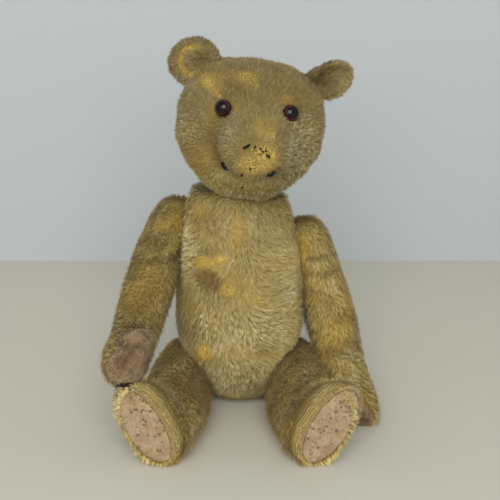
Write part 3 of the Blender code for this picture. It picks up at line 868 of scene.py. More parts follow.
# %% Build the shared mohair shade
mohair_inputs = [("Place", "vector", None), ("Along", "value", 0.5), ("Strand", "value", 0.5)]
mohair_inputs += [("Lock", "value", 0.5), ("Gold", "value", 0.0), ("Stain", "value", 0.0)]
mohair_inputs += [("Cream", "value", 0.0), ("Root tint", "colour", None), ("Tip tint", "colour", None)]
mohair_inputs += [("Grime", "value", 0.4)]
mohair_shade, given, back = new_group("mohair_shade", mohair_inputs, [("Color", "colour")])
tree = mohair_shade
take = given.outputs
height = calc(tree, "POWER", take["Along"], 0.8)
tint = mix(tree, height, take["Root tint"], take["Tip tint"])
tint = mix(tree, calc(tree, "MULTIPLY", take["Gold"], 0.8), tint, paint(196, 164, 72))
tint = mix(tree, calc(tree, "MULTIPLY", take["Stain"], 0.85), tint, paint(118, 92, 44))
pale = calc(tree, "MULTIPLY", ramp(tree, take["Lock"], 0.25, 0.8), ramp(tree, take["Along"], 0.3, 0.9))
pale = calc(tree, "MULTIPLY", pale, calc(tree, "MULTIPLY_ADD", take["Cream"], 0.85, 0.15))
pale = calc(tree, "MULTIPLY", pale, calc(tree, "MULTIPLY_ADD", take["Gold"], -0.55, 1.0))
tint = mix(tree, pale, tint, paint(240, 230, 186))
cloud = noise(tree, take["Place"], 42.0, 4.0)
grime = calc(tree, "MULTIPLY", ramp(tree, cloud, 0.45, 0.75), take["Grime"])
tint = mix(tree, grime, tint, paint(128, 112, 66))
lock_tone = ramp(tree, take["Lock"], 0.0, 1.0, 0.90, 1.10)
strand_tone = ramp(tree, take["Strand"], 0.0, 1.0, 0.88, 1.12)
tone = calc(tree, "MULTIPLY", lock_tone, strand_tone)
grey = node(tree, "ShaderNodeCombineColor", {0: tone, 1: tone, 2: tone}).outputs[0]
tint = mix(tree, 1.0, tint, grey, "MULTIPLY")
tree.links.new(tint, back.inputs["Color"])
print("mohair shade takes", len(mohair_inputs), "inputs")

# %% Make the mohair finishes


def mohair_finish(name, root_tint, tip_tint, grime=0.4):
    """Worn mohair with its own root and tip colours, and its share of grime."""
    material, tree, surface = new_material(name, Roughness=0.72, Specular_IOR_Level=0.25)
    surface.inputs["Sheen Weight"].default_value = 0.12
    surface.inputs["Sheen Roughness"].default_value = 0.5
    titles = ("Along", "Strand", "Lock", "Gold", "Stain", "Cream")
    marks = {title: attribute(tree, title.lower()) for title in titles}
    place = attribute(tree, "place", vector=True)
    shade = place_group(
        tree, mohair_shade, Place=place, Root_tint=root_tint, Tip_tint=tip_tint, Grime=grime, **marks
    )
    tree.links.new(shade.outputs["Color"], surface.inputs["Base Color"])
    return material


torso_mohair = mohair_finish("torso_mohair", paint(162, 139, 78), paint(188, 170, 112))
head_mohair = mohair_finish("head_mohair", paint(124, 107, 64), paint(148, 133, 88), 0.5)
arm_mohair = mohair_finish("arm_mohair", paint(170, 144, 74), paint(190, 170, 104), 0.4)
# The legs' mohair is tinted much paler than the arms', as painted light where the legs shade each other.
leg_mohair_painted_light = mohair_finish("leg_mohair_painted_light", paint(222, 196, 114), paint(238, 221, 154), 0.2)
ear_mohair = {
    "right": mohair_finish("ear_right_mohair", paint(118, 101, 62), paint(138, 123, 84), 0.5),
    "left": mohair_finish("ear_left_mohair", paint(150, 130, 84), paint(176, 161, 114), 0.5),
}
print("six mohair finishes")

# %% [markdown]
# ## The woven ground
# Under the pile is a plain cotton weave. Where moths and rubbing have taken the pile, it
# shows as gold, with pale fluff and small dark holes between the threads. The weave is a
# pattern of two crossing sine waves, a little under half a millimetre a thread, so it needs no
# image, and its height goes to a Bump node. The holes are a sparse pattern of cells. Beside
# the soles the ground lies in ribs, which follow the distance from the felt.
# The ribs' valleys are painted darker, as shade, and their tops paler, as light.

# %% Build the shared woven ground
ground_inputs = [("Place", "vector", None), ("Threads", "value", 7400.0), ("Bald", "value", 0.0)]
ground_inputs += [("Gold", "value", 0.0), ("Stain", "value", 0.0), ("Covered tint", "colour", None)]
ground_inputs += [("Bare tint", "colour", None), ("Rib", "value", 0.0)]
ground_outputs = [("Color", "colour"), ("Height", "value")]
woven_ground, given, back = new_group("woven_ground", ground_inputs, ground_outputs)
# Rib colours: painted shade for the valleys between ribs and painted light for their tops.
RIB_VALLEY_SHADE, RIB_TOP_LIGHT = paint(106, 89, 50), paint(164, 144, 90)
tree = woven_ground
take = given.outputs
parts = node(tree, "ShaderNodeSeparateXYZ", {0: take["Place"]}).outputs
sideways = calc(tree, "ADD", parts[0], calc(tree, "MULTIPLY", parts[1], 0.6))
upwards = calc(tree, "ADD", parts[2], calc(tree, "MULTIPLY", parts[1], 0.35))
warp = calc(tree, "SINE", calc(tree, "MULTIPLY", sideways, take["Threads"]))
weft = calc(tree, "SINE", calc(tree, "MULTIPLY", upwards, take["Threads"]))
thread = calc(tree, "MAXIMUM", calc(tree, "ABSOLUTE", warp), calc(tree, "ABSOLUTE", weft))
cells = node(tree, "ShaderNodeTexVoronoi", {"Vector": take["Place"], "Scale": 760.0, "Randomness": 0.9})
some = ramp(tree, noise(tree, take["Place"], 240.0, 2.0), 0.22, 0.40)
holes = calc(tree, "MULTIPLY", ramp(tree, cells.outputs["Distance"], 0.50, 0.34), some)
off_band = ramp(tree, take["Rib"], 0.3, 0.05)
holes = calc(tree, "MULTIPLY", holes, calc(tree, "MULTIPLY", take["Bald"], off_band))
bare = mix(tree, ramp(tree, thread, 0.2, 1.0, 0.0, 0.8), paint(146, 116, 54), take["Bare tint"])
fluff = ramp(tree, noise(tree, take["Place"], 520.0, 3.0), 0.45, 0.62, 0.0, 0.55)
bare = mix(tree, fluff, bare, paint(212, 190, 122))
worn = ramp(tree, noise(tree, take["Place"], 300.0, 3.0), 0.38, 0.62)
bare = mix(tree, calc(tree, "MULTIPLY", worn, 0.45), bare, paint(140, 116, 62))
ridge = calc(tree, "ABSOLUTE", calc(tree, "SINE", calc(tree, "MULTIPLY", take["Rib"], 2.5)))
ribbed = mix(tree, ramp(tree, ridge, 0.15, 0.8), RIB_VALLEY_SHADE, RIB_TOP_LIGHT)
ribbed = mix(tree, calc(tree, "MULTIPLY", worn, 0.5), ribbed, paint(130, 112, 64))
on_band = ramp(tree, take["Rib"], 0.05, 0.3)
bare = mix(tree, on_band, bare, ribbed)
tint = mix(tree, ramp(tree, take["Bald"], 0.15, 0.6), take["Covered tint"], bare)
gilt = calc(tree, "MULTIPLY", take["Gold"], ramp(tree, take["Rib"], 0.3, 0.05, 0.0, 0.6))
tint = mix(tree, gilt, tint, paint(224, 191, 90))
tint = mix(tree, calc(tree, "MULTIPLY", take["Stain"], 0.6), tint, paint(104, 80, 38))
tint = mix(tree, calc(tree, "MULTIPLY", holes, 0.85), tint, paint(74, 54, 24))
tree.links.new(tint, back.inputs["Color"])
level = calc(tree, "SUBTRACT", thread, calc(tree, "MULTIPLY", holes, 1.5))
level = calc(tree, "ADD", level, calc(tree, "MULTIPLY", calc(tree, "MULTIPLY", ridge, on_band), 1.5))
tree.links.new(level, back.inputs["Height"])
print("woven ground takes", len(ground_inputs), "inputs")

# %% Make the ground finishes


def ground_finish(name, covered, bare):
    """The woven ground of one part."""
    material, tree, surface = new_material(name, Roughness=0.85, Specular_IOR_Level=0.2)
    marks = {title: attribute(tree, title.lower()) for title in ("Bald", "Gold", "Stain", "Rib")}
    ground = place_group(
        tree, woven_ground, Place=object_place(tree), Covered_tint=covered, Bare_tint=bare, **marks
    )
    tree.links.new(ground.outputs["Color"], surface.inputs["Base Color"])
    bump(tree, surface, ground.outputs["Height"], 0.0003, 0.6)
    return material


cloth_ground = ground_finish("cloth_ground", paint(132, 111, 60), paint(182, 154, 80))


print("ground finish made")

# %% Helper that marks the cloth


def mark_cloth(skin, marks, finish, rib=None):
    """Writes the worn marks on the skin's points and gives it its finish.

    rib is the distance in mm that the ribs of a worn band follow, or nothing.
    """
    mesh = skin.piece.data
    write_values(mesh, "rib", np.zeros(len(skin.points)) if rib is None else rib)
    for title in ("bald", "gold", "stain"):
        write_values(mesh, title, getattr(marks, title))
    mesh.materials.clear()
    mesh.materials.append(finish)


print("cloth helper ready")

# %% [markdown]
# ## The felt pads
# Paws and soles are wool felt, let into the plush and sewn round. The felt is matted, has
# moth holes and brown specks, and the palms have gone brown with dirt. Felt has no weave: its
# surface is fine fluff, so its bump is a high noise, and its holes are a sparse cell pattern.
# Each pad carries how near a point is to its rim. There a dark line of dirt follows the seam,
# and on the inner side of each sole the ribbed ground of the plush laps over the felt.

# %% Build the shared worn felt
felt_inputs = [("Place", "vector", None), ("Felt tint", "colour", None), ("Dirt tint", "colour", None)]
felt_inputs += [("Dirt", "value", 0.5), ("Specks", "value", 0.5), ("Rim", "value", 0.0)]
worn_felt, given, back = new_group("worn_felt", felt_inputs, [("Color", "colour"), ("Height", "value")])
SEAM_AT = 1.05
tree = worn_felt
take = given.outputs
patches = ramp(tree, noise(tree, take["Place"], 90.0, 5.0, 0.65), 0.42, 0.66)
tint = mix(tree, calc(tree, "MULTIPLY", patches, take["Dirt"]), take["Felt tint"], take["Dirt tint"])
fluff = noise(tree, take["Place"], 1500.0, 3.0, 0.7)
tint = mix(tree, ramp(tree, fluff, 0.3, 0.7, 0.0, 0.35), tint, take["Dirt tint"])
ragged = noise(tree, take["Place"], 1100.0, 2.0)
cells = node(tree, "ShaderNodeTexVoronoi", {"Vector": take["Place"], "Scale": 330.0, "Randomness": 1.0})
reach = calc(tree, "MULTIPLY_ADD", ragged, 0.36, cells.outputs["Distance"])
some = ramp(tree, noise(tree, take["Place"], 210.0, 3.0), 0.44, 0.58)
speck = calc(tree, "MULTIPLY", ramp(tree, reach, 0.62, 0.40), some)
speck = calc(tree, "MULTIPLY", speck, take["Specks"])
tint = mix(tree, calc(tree, "MULTIPLY", speck, 0.8), tint, paint(112, 86, 50))
drawn = node(tree, "ShaderNodeMapping", {"Vector": take["Place"], "Scale": (420.0, 160.0, 130.0)}).outputs[0]
scuff = ramp(tree, noise(tree, drawn, 1.0, 4.0, 0.7), 0.50, 0.68, 0.0, 0.55)
tint = mix(tree, scuff, tint, paint(134, 104, 70))
frayed = calc(tree, "MULTIPLY_ADD", noise(tree, take["Place"], 240.0, 3.0), 0.10, take["Rim"])
# On the felt the ribs are colour alone: painted shade in their valleys and painted light on their tops.
rib = calc(tree, "ABSOLUTE", calc(tree, "SINE", calc(tree, "MULTIPLY", take["Rim"], 40.0)))
ribbed = mix(tree, ramp(tree, rib, 0.15, 0.8), RIB_VALLEY_SHADE, RIB_TOP_LIGHT)
tint = mix(tree, ramp(tree, frayed, SEAM_AT, 1.07), tint, ribbed)
seam_line = calc(tree, "ABSOLUTE", calc(tree, "SUBTRACT", frayed, SEAM_AT))
tint = mix(tree, ramp(tree, seam_line, 0.04, 0.01, 0.0, 0.7), tint, paint(88, 68, 42))
crumple = noise(tree, take["Place"], 330.0, 4.0, 0.6)
# The felt is darker in the low places of the crumple, which also shapes its bump.
valley = calc(tree, "MULTIPLY", ramp(tree, crumple, 0.50, 0.34), take["Dirt"])
tint = mix(tree, calc(tree, "MULTIPLY", valley, 0.55), tint, take["Dirt tint"])
tree.links.new(tint, back.inputs["Color"])
level = calc(tree, "SUBTRACT", fluff, calc(tree, "MULTIPLY", speck, 1.5))
tree.links.new(calc(tree, "MULTIPLY_ADD", crumple, 2.5, level), back.inputs["Height"])
print("worn felt takes", len(felt_inputs), "inputs")

# %% Make the felt finishes


def felt_finish(name, felt_tint, dirt_tint, dirt, specks):
    """Worn felt with its own colours."""
    material, tree, surface = new_material(name, Roughness=0.9, Specular_IOR_Level=0.15)
    surface.inputs["Sheen Weight"].default_value = 0.15
    place, rim = object_place(tree), attribute(tree, "rim")
    colours = {"Felt_tint": felt_tint, "Dirt_tint": dirt_tint, "Dirt": dirt, "Specks": specks}
    felt = place_group(tree, worn_felt, Place=place, Rim=rim, **colours)
    tree.links.new(felt.outputs["Color"], surface.inputs["Base Color"])
    bump(tree, surface, felt.outputs["Height"], 0.0008, 0.8)
    return material


sole_felt = felt_finish("sole_felt", paint(188, 165, 134), paint(152, 124, 86), 0.75, 1.0)
palm_felt = felt_finish("palm_felt", paint(152, 126, 94), paint(90, 70, 47), 0.95, 0.8)
print("two felts:", sole_felt.name, "and", palm_felt.name)

# %% Helpers that fit a pad and find its rim
PAD_PROUD = 0.7 * MM
SOLE_LONGER_UP, SOLE_LONGER_DOWN, SOLE_LEAN, SOLE_SHIFT = 0.20, 0.05, 0.12, 0.8 * MM
SOLE_RIM = (0.13, 0.90, math.radians(5))
PAW_LARGER = 0.07
PAD_FLOOR_CLEAR = 0.3 * MM


def fit_pad(points, oval, is_sole):
    """Draws a sole out towards the toes and leans it inwards, or makes a paw's pad larger."""
    local = points - oval.middle
    if not is_sole:
        return points + PAW_LARGER * local
    upwards = (local @ oval.along)[:, None]
    longer = np.where(upwards > 0, SOLE_LONGER_UP, SOLE_LONGER_DOWN) * upwards * oval.along
    lean = -SOLE_LEAN * upwards * oval.aside
    return points + longer + lean + (oval.along - oval.aside) * SOLE_SHIFT


def pad_rim(points, oval, is_sole):
    """How near each point is to the pad's rim: 0 in the middle, about 1 at the seam."""
    rim = oval_reach(oval, points, *(SOLE_RIM if is_sole else ()))
    rim = rim - 0.12 * np.clip((points - oval.middle) @ oval.along / oval.long, 0, 1.3)
    return rim if is_sole else 0.9 * rim


print("pads stand", PAD_PROUD / MM, "mm proud of their solids")

# %% Cut the felt pads


def cut_pad(name, body, solid, finish):
    """One felt pad: the pad's solid, remeshed fine, softened and a little proud."""
    piece = copy_solids(name, [solid])
    remesh(piece, THIN_VOXEL)
    points, edges = mesh_arrays(piece.data)
    put_points(piece.data, even_out(points, edges, 10))
    skin = read_skin(piece, body)
    oval, is_sole = pad_oval(solid), solid.startswith("foot")
    points = fit_pad(skin.points + skin.normals * PAD_PROUD, oval, is_sole)
    points[:, 2] = np.maximum(points[:, 2], PAD_FLOOR_CLEAR)
    put_points(piece.data, points)
    write_values(piece.data, "rim", pad_rim(points, oval, is_sole))
    shade_smooth(piece.data)
    piece.data.materials.clear()
    piece.data.materials.append(finish)
    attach(piece, body)
    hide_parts(solid)
    return read_skin(piece, body)


pads = {}
for side in SIDES:
    pads[f"paw_{side}"] = cut_pad(f"paw_felt_{side}", f"arm_{side}", f"paw_pad_{side}", palm_felt)
    pads[f"foot_{side}"] = cut_pad(f"sole_felt_{side}", f"leg_{side}", f"foot_pad_{side}", sole_felt)
    print(side, "pads:", len(pads[f"paw_{side}"].points), len(pads[f"foot_{side}"].points), "points")

# %% [markdown]
# ### The fuzz of the felt
# Rubbed felt raises short loose fibres, most of all where its edge frays. They are grown as a
# very short pile with the same helper as the mohair, because bump alone leaves the pads'
# outline too clean.

# %% Raise the fuzz of the felt
felt_fuzz = mohair_finish("felt_fuzz", paint(142, 116, 88), paint(206, 184, 160), 0.2)
FUZZ = Pile(count=3300, length=1.9 * MM, wide=0.2 * MM, lift=0.5, bend=0.3, lock=2, gather=0.3)


def raise_fuzz(part, side, seed):
    """Short loose fibres on a felt pad, longest and palest where its edge has frayed."""
    oval = pad_oval(f"{part}_pad_{side}")

    def fuzz_marks(points, normals):
        none = np.zeros(len(points))
        return Marks(none, none, none, np.clip(oval_reach(oval, points) - 0.3, 0, 0.8))

    def fuzz_flow(points, normals):
        astray = np.stack([ripple(points, 6 * MM, seed + i) for i in range(3)], 1)
        return unit(points - oval.middle) + 0.9 * astray

    def fuzz_hold(points, normals):
        share = np.clip((oval_reach(oval, points) - 0.45) / 0.5, 0.25, 1.1)
        return share * (normals @ oval.facing > 0.1), np.ones(len(points))

    name, skin = f"{part}_fuzz_{side}", pads[f"{part}_{side}"]
    grow_pile(name, skin, fuzz_marks, fuzz_flow, FUZZ, [], felt_fuzz, seed, fuzz_hold, "wool_felt")


for number, side in enumerate(SIDES):
    raise_fuzz("paw", side, 141 + number)
    raise_fuzz("foot", side, 151 + number)

# %% [markdown]
# ## The torso's pile
# On the torso the pile runs down, as it does on a bear cut from one length of plush. Years of
# hugging have brushed it outwards at the armpits and slantwise over one side of the belly.

# %% Grow the torso's pile


def torso_flow(points, normals):
    """Which way the torso's pile lies."""
    across, up = points[:, 0] / MM, points[:, 2] / MM
    flow = np.tile([0.0, -0.15, -1.0], (len(points), 1))
    armpit = np.clip((-across - 20) / 15, 0, 1) * np.exp(-(((up - 118) / 24) ** 2))
    slant = np.clip((across - 4) / 18, 0, 1) * np.exp(-(((up - 92) / 38) ** 2))
    front = frontness(normals, 0.3, 0.6)
    flow += (armpit * front)[:, None] * np.array([-2.6, 0.0, 0.9])
    flow += (slant * front)[:, None] * np.array([1.8, 0.0, 1.5])
    flow[:, 0] += 0.45 * ripple(points, 34 * MM, 21)
    return flow


def torso_hold(points, normals):
    """The pile is short above and round the bald spots, so that it doesn't hang over them."""
    wider = [Mark(m.across, m.up + 2, m.wide * 1.6, m.high * 2.4, m.strength) for m in TORSO_BALD[:4]]
    across, up = points[:, 0] / MM, points[:, 2] / MM
    return 1 - 0.7 * in_marks(across, up, (normals[:, 1] < 0) * 1.0, wider), np.ones(len(points))


TORSO_PILE = Pile(count=104000, length=6.4 * MM, wide=0.27 * MM, lift=0.75, bend=0.4, lock=4, gather=0.45)
mark_cloth(torso_skin, torso_marks(torso_skin.points, torso_skin.normals), cloth_ground)
torso_ways = (torso_marks, torso_flow, TORSO_PILE, TORSO_PLANES, torso_mohair)
grow_pile("torso_pile", torso_skin, *torso_ways, seed=101, hold=torso_hold)

# %% [markdown]
# ## The head's pile
# The head's pile is short, and loved away on the brow and the muzzle. It runs from the nose
# back over the face, and down behind. The marks are typed in the head's own frame, which
# leans with the neck, and so are the ends of the few black stitches that are left.

# %% Type the worn marks of the head
HEAD_BALD = [Mark(-37.5, 80, 3.6, 2.4, 0.8), Mark(-34, 77, 4.0, 2.2, 0.85), Mark(-28, 71.7, 3.6, 2.2, 0.85)]
HEAD_BALD += [Mark(-16, 86, 6, 1.8, 0.8), Mark(-9, 84.5, 5, 2.4, 1.0), Mark(-4, 80.5, 4, 2.4, 1.0)]
HEAD_BALD += [Mark(-26, 83, 7, 1.7, 0.75), Mark(18.7, 74.2, 3.0, 1.9, 0.9), Mark(0.5, 59.6, 3.0, 2.2, 0.8)]
HEAD_BALD += [Mark(8.7, 55.8, 3.4, 2.8, 0.85), Mark(11, 47, 2.4, 5, 0.6), Mark(4, 44, 8, 5, 0.72)]
HEAD_BALD += [Mark(-2, 35, 10, 5.5, 0.72), Mark(10, 37, 4, 7, 0.45)]
HEAD_GOLD = [Mark(-33, 77, 9, 5, 0.5), Mark(-9, 83.5, 9, 3.5, 0.5), Mark(18.7, 74, 4, 3, 0.5)]
HEAD_GOLD += [Mark(5, 58, 8, 6, 0.45), Mark(3, 39, 12, 11, 0.25), Mark(-34, 24, 12, 14, 0.55)]
HEAD_GOLD += [Mark(-8, 16, 20, 10, 0.6)]
HEAD_STAIN_AND_SHADE = [Mark(-37, 32, 7, 9, 0.5), Mark(-29, 19, 9, 7, 0.4), Mark(-16, 10, 11, 6, 0.4)]
# The two marks round the eyes are painted shade round the eye sockets; the others are stains.
HEAD_STAIN_AND_SHADE += [Mark(-22.6, 64.6, 8.5, 8.5, 0.55), Mark(22.2, 66.3, 8.5, 8.5, 0.55), Mark(2, 80, 40, 17, 0.5)]
HEAD_CREAM = [Mark(32, 42, 13, 22, 0.7), Mark(-8, 15, 20, 10, 0.85), Mark(10, 12, 18, 10, 0.7)]
HEAD_CREAM += [Mark(-38, 48, 9, 10, 0.3), Mark(-24, 14, 12, 8, 0.4)]


def head_marks(points, normals):
    """The head's worn, golden, stained and bleached places."""
    local = in_head(points)
    across, up = local[:, 0], local[:, 2]
    front = frontness(normals, 0.45, 0.4)
    bald = rag(in_marks(across, up, front, HEAD_BALD), points, 2.2 * MM, 31, 0.9)
    gold = in_marks(across, up, front, HEAD_GOLD) + 0.22 * ripple(points, 26 * MM, 32)
    stain = in_marks(across, up, front, HEAD_STAIN_AND_SHADE) + 0.18 * ripple(points, 30 * MM, 33)
    stain = stain - 0.5 * np.clip((local[:, 1] + 5) / 15, 0, 1)
    # Along the fold beside the muzzle and the one under the mouth, the stain mark is painted shade in the
    # creases.
    stain = stain + 1.0 * in_fold(local, MUZZLE_FOLD, 4.0) + 0.6 * in_fold(local, MOUTH_FOLD, 3.0)
    cream = in_marks(across, up, front, HEAD_CREAM) + 0.12 * ripple(points, 20 * MM, 34)
    cream = cream - 0.5 * np.clip((up - 62) / 12, 0, 1) + 0.75 * np.clip((local[:, 1] + 5) / 15, 0, 1)
    return marks_from(bald, gold, stain, cream)


print("head marks typed")

# %% Place the stitches that are left
NOSE_STITCHES = [((-9.2, 45.2), (-4.8, 48.4)), ((-8.6, 44.6), (-5.2, 47.4)), ((-2.0, 45.8), (-1.4, 47.4))]
NOSE_STITCHES += [((2.0, 46.4), (2.4, 45.9)), ((3.5, 44.8), (3.9, 44.4)), ((6.4, 42.9), (8.4, 41.9))]
NOSE_STITCHES += [((6.8, 42.0), (8.6, 41.2)), ((5.6, 45.2), (6.0, 44.9))]
NOSE_STITCHES += [((-2.8, 32.4), (-2.4, 32.1)), ((-7.2, 27.6), (-6.9, 27.3)), ((-3.2, 12.7), (-2.9, 12.5))]
MOUTH_STITCHES = [((-19.0, 28.5), (-14.8, 26.7)), ((8.2, 28.4), (14.0, 31.4))]
print(len(NOSE_STITCHES), "black stitches left at the nose and", len(MOUTH_STITCHES), "at the mouth")

# %% Grow the head's pile
NOSE_TIP = np.array([0.0, -74.0, 42.0])
EYE_EDGE = 5.9


def head_flow(points, normals):
    """Which way the head's pile lies: from the nose back over the face, then down behind."""
    local = in_head(points)
    flow = unit(local - NOSE_TIP)
    flow += np.array([0.0, 0.25, 0.25])
    cheek = np.clip((30 - local[:, 2]) / 20, 0, 1)
    flow += cheek[:, None] * np.array([0.0, 0.0, -1.1])
    behind = np.clip((local[:, 1] + 22) / 26, 0, 1)[:, None]
    flow = flow * (1 - behind) + behind * np.array([0.0, 0.15, -1.0])
    turned = flow @ HEAD_TURN.T
    turned[:, 0] += 0.35 * ripple(points, 28 * MM, 41)
    turned[:, 2] += 0.35 * ripple(points, 28 * MM, 42)
    return turned


def head_hold(points, normals):
    """No pile under the eyes, and short pile round them and by the stitches."""
    share = np.ones(len(points))
    for side in SIDES:
        away = np.linalg.norm(points - middle_of(f"eye_{side}"), axis=1) / MM
        share *= np.clip((away - EYE_EDGE) / 2.5, 0, 1)
    local = in_head(points)
    wider = [Mark(m.across, m.up - 1, m.wide * 1.4, m.high * 1.7, m.strength) for m in HEAD_BALD]
    share *= 1 - 0.6 * in_marks(local[:, 0], local[:, 2], (local[:, 1] < 0) * 1.0, wider)
    share *= 1 - 0.35 * in_fold(local, MUZZLE_FOLD, 3.5)
    for start, end in NOSE_STITCHES + MOUTH_STITCHES:
        middle = (np.array(start) + np.array(end)) / 2
        away = np.hypot(local[:, 0] - middle[0], local[:, 2] - middle[1])
        near = np.clip(1 - (away - 1.5) / 2.0, 0, 1) * (local[:, 1] < 0)
        share *= 1 - 0.65 * near
    return share, np.ones(len(points))


HEAD_PILE = Pile(count=92000, length=4.6 * MM, wide=0.26 * MM, lift=0.8, bend=0.45, lock=4, gather=0.4)
mark_cloth(head_skin, head_marks(head_skin.points, head_skin.normals), cloth_ground)
head_ways = (head_marks, head_flow, HEAD_PILE, HEAD_PLANES, head_mohair)
grow_pile("head_pile", head_skin, *head_ways, seed=102, hold=head_hold)

# %% [markdown]
# ## The arms' and legs' pile
# On the limbs the pile runs down towards paw and foot. None grows on the felt, and round each
# pad it stands out as a pale fringe. On the inner and upper side of each sole the plush has
# worn to its ribbed ground in a band beside the seam. Arms are golden where hands held them.
# The elbows' creases are painted dark, as shade, and so are the thighs where they hide under
# the belly. Towards the front the legs are painted paler where they face each other: partly
# pale tufts, partly painted light where the legs shade each other.

# %% Type the worn marks of the limbs
LIMB_PILE = {
    "arm": Pile(count=46000, length=5.4 * MM, wide=0.26 * MM, lift=0.9, bend=0.45, lock=4, gather=0.4),
    "leg": Pile(count=50000, length=5.2 * MM, wide=0.26 * MM, lift=0.9, bend=0.45, lock=4, gather=0.4),
}
LIMB_GOLD = {
    "arm_right": [Mark(-43, 142, 5, 6, 1.0), Mark(-51, 139, 5, 5, 0.8), Mark(-62, 100, 8, 12, 0.5)],
    "arm_left": [Mark(45, 118, 4, 22, 0.8), Mark(52, 92, 9, 14, 0.6), Mark(73, 63, 8, 12, 0.8)],
    "leg_right": [Mark(-40, 22, 18, 18, 0.7)],
    "leg_left": [Mark(40, 22, 18, 18, 0.7)],
}
LIMB_STAIN_AND_SHADE = {
    # The thin marks, 2.5 to 3 mm high, are painted shade in the elbows' creases; the rounder ones are stains.
    "arm_right": [Mark(-57, 129, 8, 6, 1.0), Mark(-50, 119, 14, 3, 1.0), Mark(-66, 88, 6, 10, 0.4)],
    "arm_left": [Mark(60, 114, 12, 2.5, 0.8), Mark(60, 103, 12, 2.5, 0.8), Mark(74, 52, 10, 8, 0.6)],
    # The legs' marks are painted shade on the thighs, where they hide under the belly.
    "leg_right": [Mark(-34, 44, 14, 12, 0.35), Mark(-26, 30, 8, 8, 0.2)],
    "leg_left": [Mark(33, 44, 14, 12, 0.35), Mark(26, 30, 8, 8, 0.2)],
}
print("limb marks typed")

# %% Describe the surface of a limb


BAND_WIDE, BAND_OVER_INSTEP, FRINGE_AT = 7.5, 4, 12


def limb_surface(limb, solid, pad_skin):
    """The functions that give a limb's marks, its pile's share of length and its ribs."""
    oval = pad_oval(solid)
    tree = point_tree(pad_skin.points)
    foot = limb.startswith("leg")

    def from_pad(points):
        """How far each point is from the felt, in mm, and 1 on the sole's inner and upper side."""
        away = np.array([tree.find(point)[2] for point in points]) / MM
        local = points - oval.middle
        inner = local @ oval.aside / oval.wide + 0.2 * (local @ oval.along) / oval.long
        return away, np.clip(inner * 2.2 - 0.4, 0, 1) * foot

    def worn_band(points, away, inner):
        """1 on the worn band beside the sole, which is wider over the instep."""
        over = np.clip((points - oval.middle) @ oval.along / oval.long, 0, 1)
        edge = BAND_WIDE + BAND_OVER_INSTEP * over - away + ripple(points, 9 * MM, 55)
        return np.clip(edge / 1.5, 0, 1) * inner

    def inner_side(normals):
        """1 where a leg's cloth looks at the other leg."""
        return np.clip(-normals[:, 0] * np.sign(oval.middle[0]), 0, 1) * foot

    def marks_of(points, normals):
        across, up = points[:, 0] / MM, points[:, 2] / MM
        away, inner = from_pad(points)
        front = frontness(normals, 0.35, 0.5)
        band = 0.62 * worn_band(points, away, inner)
        gold = in_marks(across, up, front, LIMB_GOLD[limb]) + 0.2 + 0.35 * ripple(points, 26 * MM, 51)
        stain = in_marks(across, up, front, LIMB_STAIN_AND_SHADE[limb]) + 0.25 * ripple(points, 30 * MM, 52)
        stain = stain + 0.25 * ripple(points, 11 * MM, 54)
        cream = 0.2 + 0.35 * ripple(points, 18 * MM, 53)
        near = 0.4 * np.clip((12.5 - away) / 4, 0, 1)
        cream = np.maximum(cream, np.maximum(near, inner * np.clip((17 - away) / 3, 0, 1)))
        # Towards the front the legs are paler and less stained, most where they face each other: partly pale
        # tufts, partly painted light where the legs shade each other.
        toward = inner_side(normals)
        cream = cream + foot * (0.5 + 0.5 * toward) * np.clip((-points[:, 1] / MM - 50) / 30, 0, 1)
        stain = stain - 0.4 * toward
        return marks_from(band, gold, stain, cream)

    def hold(points, normals):
        away, inner = from_pad(points)
        on_felt = (oval_reach(oval, points) < (0.95 if foot else 0.90)) & (normals @ oval.facing > 0.2)
        edge = (1.0 - on_felt) * (1 - 0.6 * worn_band(points, away, inner))
        toward = inner_side(normals)
        longer = 1 + 0.55 * toward * np.clip((-points[:, 1] / MM - 25) / 20, 0, 1)
        fringe = inner * np.clip(1 - np.abs(away - FRINGE_AT) / 3, 0, 1)
        return edge * longer * (1 + 0.3 * fringe), 1 + 1.0 * np.clip((6 - away) / 5, 0, 1) + 0.8 * fringe

    return marks_of, hold, from_pad


print("the worn band beside a sole is", BAND_WIDE, "mm wide")

# %% Grow the limbs' pile
for number, (limb, plane) in enumerate(PLANE_OF.items()):
    kind, side = limb.split("_")
    part = PAD_WORD[kind]
    solid = f"{part}_pad_{side}"
    marks_of, hold, from_pad = limb_surface(limb, solid, pads[f"{part}_{side}"])
    line = middle_of(solid) - JOINT_PLANES[plane.joint][0]
    oval = pad_oval(solid)

    def limb_flow(points, normals, line=line, oval=oval, from_pad=from_pad):
        """Down the limb, a little towards the ground, and outwards round the pad."""
        flow = np.tile(line / np.linalg.norm(line), (len(points), 1))
        flow[:, 2] -= 0.35
        flow[:, 0] += 0.3 * ripple(points, 26 * MM, 61)
        near = np.clip((6 - from_pad(points)[0]) / 5, 0, 1)
        return flow + near[:, None] * unit(points - oval.middle) * 0.5

    skin = limb_skins[limb]
    mark_cloth(skin, marks_of(skin.points, skin.normals), cloth_ground, from_pad(skin.points)[0])
    finish = arm_mohair if kind == "arm" else leg_mohair_painted_light
    grow_pile(f"{limb}_pile", skin, marks_of, limb_flow, LIMB_PILE[kind], [plane], finish, 110 + number, hold)

# %% [markdown]
# ## The ears
# Each ear is two rounds of plush sewn together and cupped. The right ear's rim is rubbed thin,
# so gold shows through, and its hollow is painted dark, as the shade that lies in it. Ears are
# skinned with smaller faces than the rest because the cloth is thin there, and get a short pile
# on both sides.

# %% Find the directions of each ear
EAR_FACING = {"right": (0.25, -0.95, -0.18), "left": (0.34, -0.70, -0.62)}


